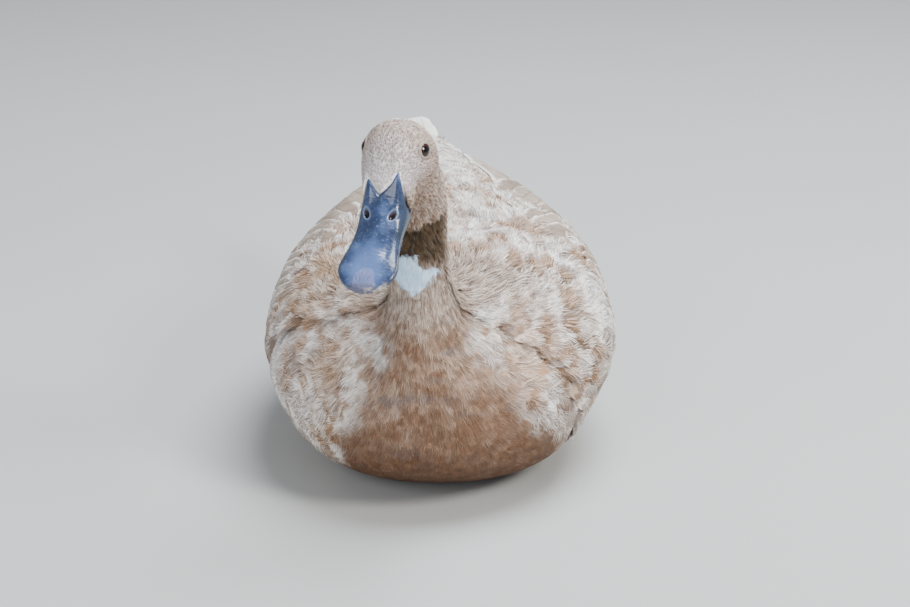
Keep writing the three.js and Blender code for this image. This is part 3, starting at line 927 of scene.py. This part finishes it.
face_roots = clear_of_eyes(scatter(feather_gap, lambda p: on_face(p) & clear_of_bill(p)))
lay_feathers("coat_face", face_roots, feather_length, 1, coat_rise, face_fans, coat_face, "fawn_plumage")
neck_roots = scatter(feather_gap, on_neck)
lay_feathers("coat_neck", neck_roots, feather_length, 1, coat_rise, neck_fans, coat_short, "fawn_plumage")
for name, side in (("left", 1), ("right", -1)):
    roots = scatter(feather_gap, lambda p: on_chest(p) & (p[:, 0] * side > 0))
    lay_feathers("coat_breast_" + name, roots, feather_length, 1, coat_rise, chest_fans, coat_short, "rufous_plumage")
FORE, AFT, SPLIT = -0.045, 0.075, 0.075
regions = {
    "fore": lambda p: p[:, 1] < FORE,
    "middle_high": lambda p: (p[:, 1] >= FORE) & (p[:, 1] < AFT) & (p[:, 2] > SPLIT),
    "middle_low": lambda p: (p[:, 1] >= FORE) & (p[:, 1] < AFT) & (p[:, 2] <= SPLIT),
    "aft_high": lambda p: (p[:, 1] >= AFT) & (p[:, 2] > SPLIT),
    "aft_low": lambda p: (p[:, 1] >= AFT) & (p[:, 2] <= SPLIT),
}
for side_name, side in (("left", 1), ("right", -1)):
    for name, region in regions.items():
        roots = scatter(feather_gap, lambda p: on_rest(p) & region(p) & (p[:, 0] * side >= 0))
        lay_feathers(
            f"coat_{name}_{side_name}", roots, feather_length, 1, coat_rise, loose_plumes, coat_loose,
            "pale_plumage", curl=0.26, turn=0.28,
        )

# %% [markdown]
# ## Wing and tail feathers
# Quill feathers are firm vanes: a shaft with a web on each side. Each is a grid laid on the
# plumage's outer shape, which rays from outside find, and each row lies over the row behind it.

# %% The plumage's outer shape
def outer_tree():
    points, faces = [], []
    for node in FLESH:
        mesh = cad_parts[node].data
        mesh.calc_loop_triangles()
        faces += [[v + len(points) for v in t.vertices] for t in mesh.loop_triangles]
        points += [v.co.copy() for v in mesh.vertices]
    return BVHTree.FromPolygons(points, faces)


outer = outer_tree()
REAR_HALF = [(2, 105), (60, 101), (110, 85), (150, 62), (196, 37), (230, 28), (284, 23.5)]
REAR_TOP = [(20, 149), (70, 149), (120, 144), (160, 138), (196, 132), (235, 129), (284, 134)]
REAR_BOTTOM = [(92, 0), (120, 1), (150, 18), (196, 69), (235, 109), (284, 131)]


def spine(y):
    """How far the middle of the body has swung to the duck's right, y in millimetres."""
    behind = np.maximum(0, np.asarray(y, float) - 165) / 119
    return -math.tan(math.radians(14)) * 119 * behind ** 1.3


def shell(y, angle, side):
    """A point of the outer shape, and its outward direction, at a length and a section angle."""
    low, high, half = ramp(y, REAR_BOTTOM), ramp(y, REAR_TOP), ramp(y, REAR_HALF)
    middle = low + 0.47 * (high - low)
    out = Vector((side * half * math.cos(angle), 0, (high - middle) * math.sin(angle))).normalized()
    centre = Vector((spine(y), y, middle)) * MM
    spot, normal, _, _ = outer.ray_cast(centre + out * 0.2, -out)
    if spot is None or (spot - centre).dot(out) < 0:
        spot, normal, _, _ = outer.find_nearest(centre + out * half * MM)
    return np.array(spot), np.array(out), (spot - centre).length / MM


# %% Vanes
VANE_LONG, VANE_WIDE = 22, 8


def vane_grid():
    """The grid that every vane is bent from: along from 0 to 1, across from -1 to 1."""
    bm = bmesh.new()
    bmesh.ops.create_grid(bm, x_segments=VANE_LONG, y_segments=VANE_WIDE, size=1)
    bm.verts.index_update()
    spots = np.array([v.co[:2] for v in bm.verts])
    faces = np.array([[v.index for v in f.verts] for f in bm.faces])
    bm.free()
    return (spots[:, 0] + 1) / 2, spots[:, 1], faces


vane_t, vane_s, vane_faces = vane_grid()


def web(t, narrow=0.35):
    """Half width of a vane along its length, as a share of the widest."""
    base = np.clip(t / narrow, 0, 1) ** 0.6
    tip = np.sqrt(np.clip(1 - np.clip((t - 0.72) / 0.285, 0, 1) ** 2.2, 0, 1))
    return (0.25 + 0.75 * base) * tip


def lay_vanes(name, quills, place_at, finish, slot):
    """Quills are (start, end, half width in mm, lift in mm, sweep); place_at gives the outer shape."""
    blocks = {key: [] for key in ("place", "faces", "uv", "root", "lay", "tone", "along", "edge")}
    columns = math.ceil(math.sqrt(len(quills) * 3))
    for i, (start, end, half, lift, tilt) in enumerate(quills):
        nicks = rng.random(2 * (VANE_LONG + 1)) < 0.10
        wave = rng.normal(0, 0.04, 2)
        middle = np.array(start)[None] + (np.array(end) - np.array(start))[None] * vane_t[:, None]
        row = np.round(vane_t * VANE_LONG).astype(int)
        nick = 1 - 0.10 * nicks[row + (vane_s > 0) * (VANE_LONG + 1)] * (vane_t > 0.35)
        offset = vane_s * half * web(vane_t) * nick + half * wave[0] * np.sin(3 * vane_t)
        spots = np.empty((len(vane_t), 3))
        outs = np.empty((len(vane_t), 3))
        for k in range(len(vane_t)):
            spots[k], outs[k] = place_at(middle[k], offset[k])
        arch = 0.45 * (1 - vane_s ** 2) + 0.16 * np.exp(-(vane_s / 0.09) ** 2) + tilt * vane_s
        rise = (lift + arch - 1.2 * (1 - vane_t) ** 2) * MM
        blocks["place"].append(spots + outs * rise[:, None])
        blocks["faces"].append(vane_faces + i * len(vane_t))
        cell = np.array([i % columns, i // columns])
        rows = math.ceil(len(quills) / columns)
        uv = np.stack([(cell[0] + 0.5 + 0.46 * vane_s) / columns, (cell[1] + 0.02 + 0.96 * vane_t) / rows], axis=1)
        blocks["uv"].append(uv)
        blocks["root"].append(np.repeat(spots[:1], len(vane_t), axis=0))
        blocks["lay"].append(outs)
        blocks["tone"].append(np.full(len(vane_t), rng.random()))
        blocks["along"].append(vane_t)
        blocks["edge"].append(vane_s)
    return joined_mesh(name, {k: np.concatenate(v) for k, v in blocks.items()}, finish, slot)


# %% [markdown]
# A quill feather's finish reads how far along and across its own web a point is: a brown-grey
# web, a pale rim, a dark shaft, and fine barb lines that slant from it.

# %% Finish of the vanes
def vane_finish(name, web_colour, rim_colour, rim_from, tip_from):
    f = Finish(name, 0.5, Specular_IOR_Level=0.3)
    along, tone, across = f.attribute("along"), f.attribute("tone"), f.attribute("edge")
    side = across.math("ABSOLUTE")
    place = f.spot()
    mottle = f.noise(place, 120, 2.5).step(0.35, 0.65)
    body = f.mix(tone * 0.55 + mottle * 0.25, srgb(*web_colour[0]), srgb(*web_colour[1]))
    rim = side.step(rim_from, 0.97).either(along.step(tip_from, 0.99))
    body = f.mix(rim * 0.85, body, srgb(*rim_colour))
    shaft = side.step(0.07, 0.02)
    body = f.mix(shaft * 0.5, body, srgb(112, 92, 74))
    barbs = (along * 300 - side * 55).math("SINE")
    body = f.mix((barbs * 0.5 + 0.5) * 0.16, body, srgb(96, 78, 62))
    f.feed("Base Color", body)
    f.bump(barbs * 0.5 + 0.5, 0.00012, 0.6)
    return f


wing_quill = vane_finish("wing_quills", ((122, 104, 90), (190, 174, 158)), (246, 242, 236), 0.66, 0.88)
tail_quill = vane_finish("tail_quills", ((222, 214, 204), (240, 236, 230)), (250, 248, 244), 0.70, 0.90)


def wing_place(side):
    def place_at(middle, offset):
        y, angle = middle
        _, _, radius = shell(y, math.radians(angle), side)
        spot, out, _ = shell(y, math.radians(angle + math.degrees(offset / radius)), side)
        return spot, out
    return place_at


def quill_row(count, root_from, root_to, tip_from, tip_to, half, lift, tilt, step=0.0):
    quills = []
    for i in range(count):
        t = i / max(count - 1, 1)
        start = np.array(root_from) * (1 - t) + np.array(root_to) * t
        end = np.array(tip_from) * (1 - t) + np.array(tip_to) * t
        end = end + rng.normal(0, 1, 2) * (1.6, 0.8)
        quills.append((start, end, half * rng.uniform(0.94, 1.06), lift + step * i, tilt))
    return quills


# %% Wings
def wing_quills():
    """Rows from the hidden primaries at the rim to the tertials, each over the row behind it."""
    return [
        *quill_row(6, (60, 8), (74, 28), (205, 30), (238, 58), 9, -2.6, 0.30, 0.22),
        *quill_row(10, (-20, 12), (66, 24), (60, -10), (186, 24), 11, -2.2, 0.32, 0.12),
        *quill_row(11, (-34, 18), (52, 32), (26, -9), (118, 12), 9, -1.4, 0.32, 0.08),
        *quill_row(10, (-30, 24), (46, 40), (12, -2), (92, 26), 8.5, -0.9, 0.30, 0.08),
        *quill_row(5, (10, 48), (42, 60), (124, 30), (186, 56), 13, -1.2, 0.30, 0.30),
        *quill_row(6, (6, 50), (54, 64), (46, 36), (112, 52), 11, -0.5, 0.25, 0.08),
    ]


for name, side in (("left", 1), ("right", -1)):
    lay_vanes(f"wing_{name}_quills", wing_quills(), wing_place(side), wing_quill, "pale_plumage")


# %% Tail
def tail_place(middle, offset):
    x, y = middle[0] + offset, middle[1]
    spot = outer.ray_cast(Vector((x * MM, y * MM, 0.3)), Vector((0, 0, -1)))[0]
    if spot is None:
        wanted = Vector((x, y, float(ramp(y, REAR_TOP)))) * MM
        spot = outer.find_nearest(wanted)[0]
        beyond = wanted - spot
        spot = spot + beyond * min(1, 0.007 / beyond.length)
    curl = min(max((y - 235) / 48, 0), 1) ** 1.5 * min(max((x - float(spine(y)) - 12) / 12, 0), 1)
    return np.array(spot) + np.array((0, 0, 0.0042 * curl)), np.array((0.0, 0.0, 1.0))


def tail_quills():
    quills = []
    for i in range(16):
        f = 2 * i / 15 - 1
        tip_y = 283 - (5 if f > 0 else 20) * abs(f) ** 2
        start = (float(spine(200)) + f * 12, 200)
        end = (float(spine(tip_y)) + 3.5 + f * 17.0, tip_y)
        quills.append((start, end, 8.5, -1.0 - 1.6 * abs(f) + 2.0 * max(f, 0) ** 2, 0.25 if f < 0 else -0.25))
    return quills


lay_vanes("tail_quills", sorted(tail_quills(), key=lambda q: q[3]), tail_place, tail_quill, "pale_plumage")


# %% [markdown]
# ## The bill
# The bill is a smooth loft. A grid is rolled into a tube, and each of its points is set by the
# same widths and heights as the solid, with the nostrils pressed in and the nail raised.

# %% Bill
BILL_HALF = [(15, 12.8), (20, 13.8), (26, 14.2), (34, 13.8), (42, 13.2), (50, 13.4), (59, 14.9), (67, 16.6), (73, 17.2)]
BILL_ROOF = [(15, 5), (20, 0.6), (26, -5.2), (31, -8.6), (36, -11.2), (46, -15.2), (57, -18.8), (68, -21), (84, -24.5)]
BILL_EDGE = [(15, -23), (26, -24), (40, -25), (60, -25.4), (75, -26.2), (84, -27.6)]
NOSTRIL = (38.2, 7.4)


def eased(x, rows):
    """A smooth line through the rows: each stretch is ramped and then averaged over its length."""
    return sum(ramp(x + d, rows) for d in (-3, -2, -1, 0, 1, 2, 3)) / 7


def round_tip(x, start, end):
    t = np.clip((x - start) / (end - start), 0, 0.9995)
    return (1 - t ** 2.1) ** (1 / 2.1)


def rolled_grid(around, along):
    bm = bmesh.new()
    bmesh.ops.create_grid(bm, x_segments=around, y_segments=along, size=1)
    return bm


def bill_upper():
    bm = rolled_grid(170, 140)
    for vert in bm.verts:
        u, v = (vert.co.x + 1) / 2, (vert.co.y + 1) / 2
        top = u < 0.75
        a = math.pi * u / 0.75
        share = math.cos(a) if top else -1 + 2 * (u - 0.75) / 0.25
        start = float(bill_border(np.array(share * 14.2))) - 1.6
        start = start if top else 20 + (start - 20) * share ** 4
        x = start + (84 - start) * (1 - (1 - v) ** 1.35)
        half = float(eased(x, BILL_HALF) * round_tip(x, 67, 84)) + 0.02
        edge, roof = float(eased(x, BILL_EDGE)), float(eased(x, BILL_ROOF))
        side = share * half
        if top:
            swell = 3.2 * smooth_step(46 - x, 0, 26) * math.exp(-(((abs(side) - 8.8) / 3.4) ** 2))
            furrow = 0.9 * smooth_step(x, 30, 44) * smooth_step(70 - x, 0, 14)
            z = edge + (roof - edge + swell) * math.sin(a) ** 0.72
            z += furrow * (math.exp(-((side / 3.2) ** 2)) - math.exp(-(((abs(side) - 8.0) / 3.0) ** 2)))
        else:
            z = edge - 0.9 * math.sin(math.pi * (u - 0.75) / 0.25) ** 0.4
        if top:
            ring, press = nostril_shape(x, side)
            z += 0.30 * ring - 1.7 * press
            nail = smooth_step(1 - ((x - 80.5) / 9.5) ** 2 - (side / 6.6) ** 2, 0.0, 0.25)
            rim = smooth_step(abs(share), 0.955, 0.985) * smooth_step(x, 30, 40)
            z += (0.14 * nail + 0.35 * rim) * smooth_step(1 - abs(share), 0, 0.012)
        z -= 1.3 * smooth_step(x, 75, 84) + 1.0 * (1 - smooth_step(x, start, start + 2.2))
        vert.co = (x, side, z)
    bmesh.ops.remove_doubles(bm, verts=bm.verts, dist=0.004)
    bmesh.ops.holes_fill(bm, edges=[e for e in bm.edges if e.is_boundary], sides=0)
    bmesh.ops.recalc_face_normals(bm, faces=bm.faces)
    bmesh.ops.transform(bm, matrix=head_frame, verts=bm.verts)
    return mesh_from_bmesh("bill_top", bm)


def nostril_shape(x, side):
    """A raised rim and a pressed-in slot, slanting inwards along the top of the bill."""
    ahead, aside = x - NOSTRIL[0], abs(side) - NOSTRIL[1]
    out = math.hypot((ahead * 0.86 - aside * 0.5) / 3.0, (ahead * 0.5 + aside * 0.86) / 1.45)
    return math.exp(-(((out - 1.35) / 0.35) ** 2)), 1 - float(smooth_step(out, 0.6, 1.05))


def bill_lower():
    bm = rolled_grid(72, 70)
    for vert in bm.verts:
        u, v = (vert.co.x + 1) / 2, (vert.co.y + 1) / 2
        x = 19 + 62.5 * (1 - (1 - v) ** 1.4)
        half = max(float(eased(x, BILL_HALF) - 1.6) * float(round_tip(x, 65, 81.5)), 0.2)
        a = 2 * math.pi * u
        up = math.sin(a)
        keel = 4.6 - 2.4 * v
        vert.co = (x, math.cos(a) * half, float(eased(x, BILL_EDGE)) - 1.85 + up * (0.4 if up > 0 else keel))
    bmesh.ops.remove_doubles(bm, verts=bm.verts, dist=0.004)
    bmesh.ops.holes_fill(bm, edges=[e for e in bm.edges if e.is_boundary], sides=0)
    bmesh.ops.recalc_face_normals(bm, faces=bm.faces)
    bmesh.ops.transform(bm, matrix=head_frame, verts=bm.verts)
    return mesh_from_bmesh("bill_bottom", bm)


# %% Finish of the bill
horn = Finish("bill_horn", 0.28, Specular_IOR_Level=0.55)
place = horn.spot()
forward, side, up = (head_axis(horn, place, row) for row in range(3))
wide = side.math("ABSOLUTE")
cloud = horn.noise(place, 110, 3.0).step(0.35, 0.7)
fleck = horn.noise(place, 800, 2.0).step(0.60, 0.70)
slate = horn.mix(cloud, srgb(38, 50, 78), srgb(68, 86, 124))
slate = horn.mix(fleck * 0.22, slate, srgb(150, 162, 186))
spoon = forward.step(50, 66) * wide.step(13, 4)
slate = horn.mix(spoon * 0.58, slate, srgb(96, 120, 172))
flank = wide.step(8.0, 12.5) * forward.step(68, 44)
slate = horn.mix(flank * 0.80, slate, srgb(44, 52, 62))
rim = wide.step(13.2, 16.4) * forward.step(50, 60)
slate = horn.mix(rim * 0.7, slate, srgb(38, 40, 46))
toe = (forward - 80.5) / 9.5
nail_mask = (1 - toe * toe - side * side / 44).step(0.0, 0.30)
rays = horn.node("ShaderNodeMath", {"operation": "ARCTAN2"}, {0: side, 1: 92 - forward})
rays = horn.noise(horn.node("ShaderNodeCombineXYZ", None, {0: rays * 0.05, 1: forward * 0.0003, 2: 0.0}), 700, 2.0)
nail_colour = horn.mix(rays.step(0.35, 0.65), srgb(96, 100, 138), srgb(128, 132, 168))
slate = horn.mix(nail_mask * 0.70, slate, nail_colour)
tip_rim = forward.step(79.5, 82.5)
slate = horn.mix(tip_rim * 0.6, slate, srgb(70, 62, 60))
chips = horn.noise(place, 300, 3.0).step(0.42, 0.66) * forward.step(76, 80) * side.step(0, 5) * up.step(-24.2, -26.2)
slate = horn.mix(chips * 0.75, slate, srgb(206, 196, 178))
ahead, aside = forward - NOSTRIL[0], wide - NOSTRIL[1]
slot_long, slot_wide = ahead * 0.86 - aside * 0.5, ahead * 0.5 + aside * 0.86
slot = slot_long * slot_long / 9.0 + slot_wide * slot_wide / 2.1 + up.step(-19, -22) * 9
slate = horn.mix(slot.step(3.0, 1.3) * slot.step(0.8, 1.2) * 0.30, slate, srgb(150, 168, 198))
# Inside the nostril: reddish-brown skin, then black at its middle as painted shade of the hole.
slate = horn.mix(slot.step(1.00, 0.55), slate, srgb(54, 24, 20))
slate = horn.mix(slot.step(0.60, 0.20), slate, srgb(10, 8, 8))
horn.feed("Base Color", slate)
turned = horn.node("ShaderNodeCombineXYZ", None, {0: forward * 0.001, 1: side * 0.00022, 2: up * 0.0004})
scratch = horn.noise(turned, 900, 2.0)
horn.feed("Roughness", 0.15 + cloud * 0.08 + scratch.step(0.5, 0.75) * 0.16)
horn.bump(horn.noise(place, 420, 3.0) * 0.6 + scratch * 0.5, 0.00030, 0.5)

dress(bill_upper(), horn.material, "bill", "bill_upper")
dress(bill_lower(), horn.material, "bill", "bill_lower")


# %% [markdown]
# ## Eyes and lids
# The eye is a wet ball, dark brown with a black pupil, and only a cap of it shows inside a ring
# of pale bare lid.

# %% Eyes
eye_wet = Finish("eye_wet", 0.03, Specular_IOR_Level=0.45)
place = eye_wet.spot()
forward, side, up = (head_axis(eye_wet, place, row) for row in range(3))
axis = Vector(EYE_AXIS).normalized()
wide = side.math("ABSOLUTE") - EYE_PLACE[1]
reach = forward - EYE_PLACE[0]
rise = up - EYE_PLACE[2]
facing = reach * axis.x + wide * axis.y + rise * axis.z
out = (reach * reach + wide * wide + rise * rise - facing * facing).either(0).math("SQRT")
streaks = eye_wet.noise(place, 1500, 2.0)
iris = eye_wet.mix(streaks.step(0.35, 0.7), srgb(30, 12, 6), srgb(70, 30, 15))
iris = eye_wet.mix(out.step(3.1, 3.7), iris, srgb(16, 10, 8))
eye_wet.feed("Base Color", eye_wet.mix(out.step(2.60, 2.20), iris, srgb(4, 4, 5)))

lid_bare = Finish("lid_bare", 0.5)
place = lid_bare.spot()
lid_tone = lid_bare.noise(place, 1400, 2.0)
lid_bare.feed("Base Color", lid_bare.mix(lid_tone, srgb(112, 94, 82), srgb(178, 162, 150)))
lid_bare.bump(lid_tone, 0.0004, 0.6)


def eyeball(side):
    bm = bmesh.new()
    place = head_frame @ Matrix.Translation((EYE_PLACE[0], side * EYE_PLACE[1], EYE_PLACE[2]))
    turn = Matrix.Rotation(math.pi / 2, 4, "X")
    bmesh.ops.create_uvsphere(bm, u_segments=48, v_segments=32, radius=BALL_ROUND, matrix=place @ turn)
    return bm


LID = [
    (3.72, 4.22), (3.60, 4.42), (3.66, 4.62), (3.90, 4.71), (4.30, 4.62), (4.90, 4.28), (5.45, 3.80),
    (5.30, 3.50), (4.40, 3.62),
]


def eyelid(side):
    """Thin lids that close over the ball to an opening a little longer than it is high."""
    bm = bmesh.new()
    ring = [bm.verts.new((out, 0, height)) for out, height in LID]
    for one, two in zip(ring, ring[1:] + ring[:1]):
        bm.edges.new((one, two))
    bmesh.ops.spin(
        bm, geom=[*bm.verts, *bm.edges], cent=(0, 0, 0), axis=(0, 0, 1), angle=2 * math.pi,
        steps=72, use_merge=True,
    )
    bmesh.ops.remove_doubles(bm, verts=bm.verts, dist=0.001)
    for vert in bm.verts:
        turn = math.atan2(vert.co.y, vert.co.x)
        vert.co.x *= 1.05
        vert.co.y *= 0.97 - 0.08 * max(math.sin(turn), 0)
        vert.co.z += 0.04 * math.sin(turn * 9)
    axis = Vector((EYE_AXIS[0], side * EYE_AXIS[1], EYE_AXIS[2])).normalized()
    ahead = (Vector((1, 0, 0)) - axis * axis.x).normalized()
    above = axis.cross(ahead) * side
    stand = Matrix((
        (ahead.x, above.x, axis.x), (ahead.y, above.y, axis.y), (ahead.z, above.z, axis.z),
    )).to_4x4()
    centre = Vector((EYE_PLACE[0], side * EYE_PLACE[1], EYE_PLACE[2]))
    bmesh.ops.transform(bm, matrix=head_frame @ Matrix.Translation(centre) @ stand, verts=bm.verts)
    bmesh.ops.recalc_face_normals(bm, faces=bm.faces)
    return bm


for name, side in (("left", 1), ("right", -1)):
    ball = mesh_from_bmesh("eyeball_" + name, eyeball(side))
    dress(ball, eye_wet.material, "eye", "eye_" + name)
    dress(mesh_from_bmesh("eyelid_" + name, eyelid(side)), lid_bare.material, "eye")

# %% [markdown]
# ## Legs, skin and stage
# The legs keep their solids, with a scaly finish. The skin stands for all the flesh.

# %% Legs and skin
leg_scales = Finish("leg_scales", 0.5)
place = leg_scales.spot()
cells = leg_scales.node("ShaderNodeTexVoronoi", None, {"Vector": place, "Scale": 520})
leg_scales.feed("Base Color", leg_scales.mix(cells.step(0.1, 0.7), srgb(158, 104, 52), srgb(112, 74, 42)))
leg_scales.bump(cells, 0.0004, 0.6)
for node in ("leg_left", "leg_right"):
    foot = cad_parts[node]
    foot.data.materials.clear()
    foot.data.materials.append(leg_scales.material)
    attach(foot, "root")
dress(skin, plumage_skin.material, "pale_plumage", *FLESH)

# %% Floor, light and camera
floor_finish = Finish("pale_floor", 0.8)
place = floor_finish.spot()
speck = floor_finish.noise(place, 3.0, 3.0)
floor_finish.feed("Base Color", floor_finish.mix(speck, (0.42, 0.415, 0.40), (0.46, 0.455, 0.44)))
bm = bmesh.new()
bmesh.ops.create_grid(bm, x_segments=1, y_segments=1, size=6)
floor = mesh_from_bmesh("floor", bm, smooth=False)
floor.data.materials.append(floor_finish.material)


def soft_light(name, place, size, power, colour):
    lamp = bpy.data.lights.new(name, "AREA")
    lamp.color = colour
    lamp.shape = "DISK"
    lamp.size = size
    lamp.energy = power
    thing = bpy.data.objects.new(name, lamp)
    thing.location = place
    aim = Vector((0, 0.02, 0.1)) - thing.location
    thing.rotation_euler = aim.to_track_quat("-Z", "Y").to_euler()
    bpy.context.collection.objects.link(thing)
    return thing


lights = [
    soft_light("sky_light", (0.45, 0.30, 1.7), 1.2, 70, (0.86, 0.93, 1.0)),
    soft_light("key_light", (1.2, -0.9, 1.2), 0.55, 34, (1.0, 0.98, 0.94)),
    soft_light("fill_light", (-0.9, -1.4, 0.8), 1.2, 20, (0.92, 0.96, 1.0)),
]
world = bpy.data.worlds.new("studio")
bpy.context.scene.world = world
world.use_nodes = True
world.node_tree.nodes["Background"].inputs[0].default_value = (0.84, 0.91, 1.0, 1)
world.node_tree.nodes["Background"].inputs[1].default_value = 0.46

VIEW_SIDE, VIEW_UP, VIEW_AWAY = math.radians(-1), math.radians(20), 1.5
aim = Vector((0, 0, 0.07))
camera = bpy.data.cameras.new("camera")
camera.sensor_width = 36
camera.lens = 94.55
camera.shift_x = 0.0198
camera.shift_y = 0.0313
camera.clip_start = 0.02
eye_point = bpy.data.objects.new("camera", camera)
eye_point.location = aim + VIEW_AWAY * Vector((
    math.sin(VIEW_SIDE) * math.cos(VIEW_UP), -math.cos(VIEW_SIDE) * math.cos(VIEW_UP), math.sin(VIEW_UP),
))
eye_point.rotation_euler = (aim - eye_point.location).to_track_quat("-Z", "Y").to_euler()
bpy.context.collection.objects.link(eye_point)
bpy.context.scene.camera = eye_point
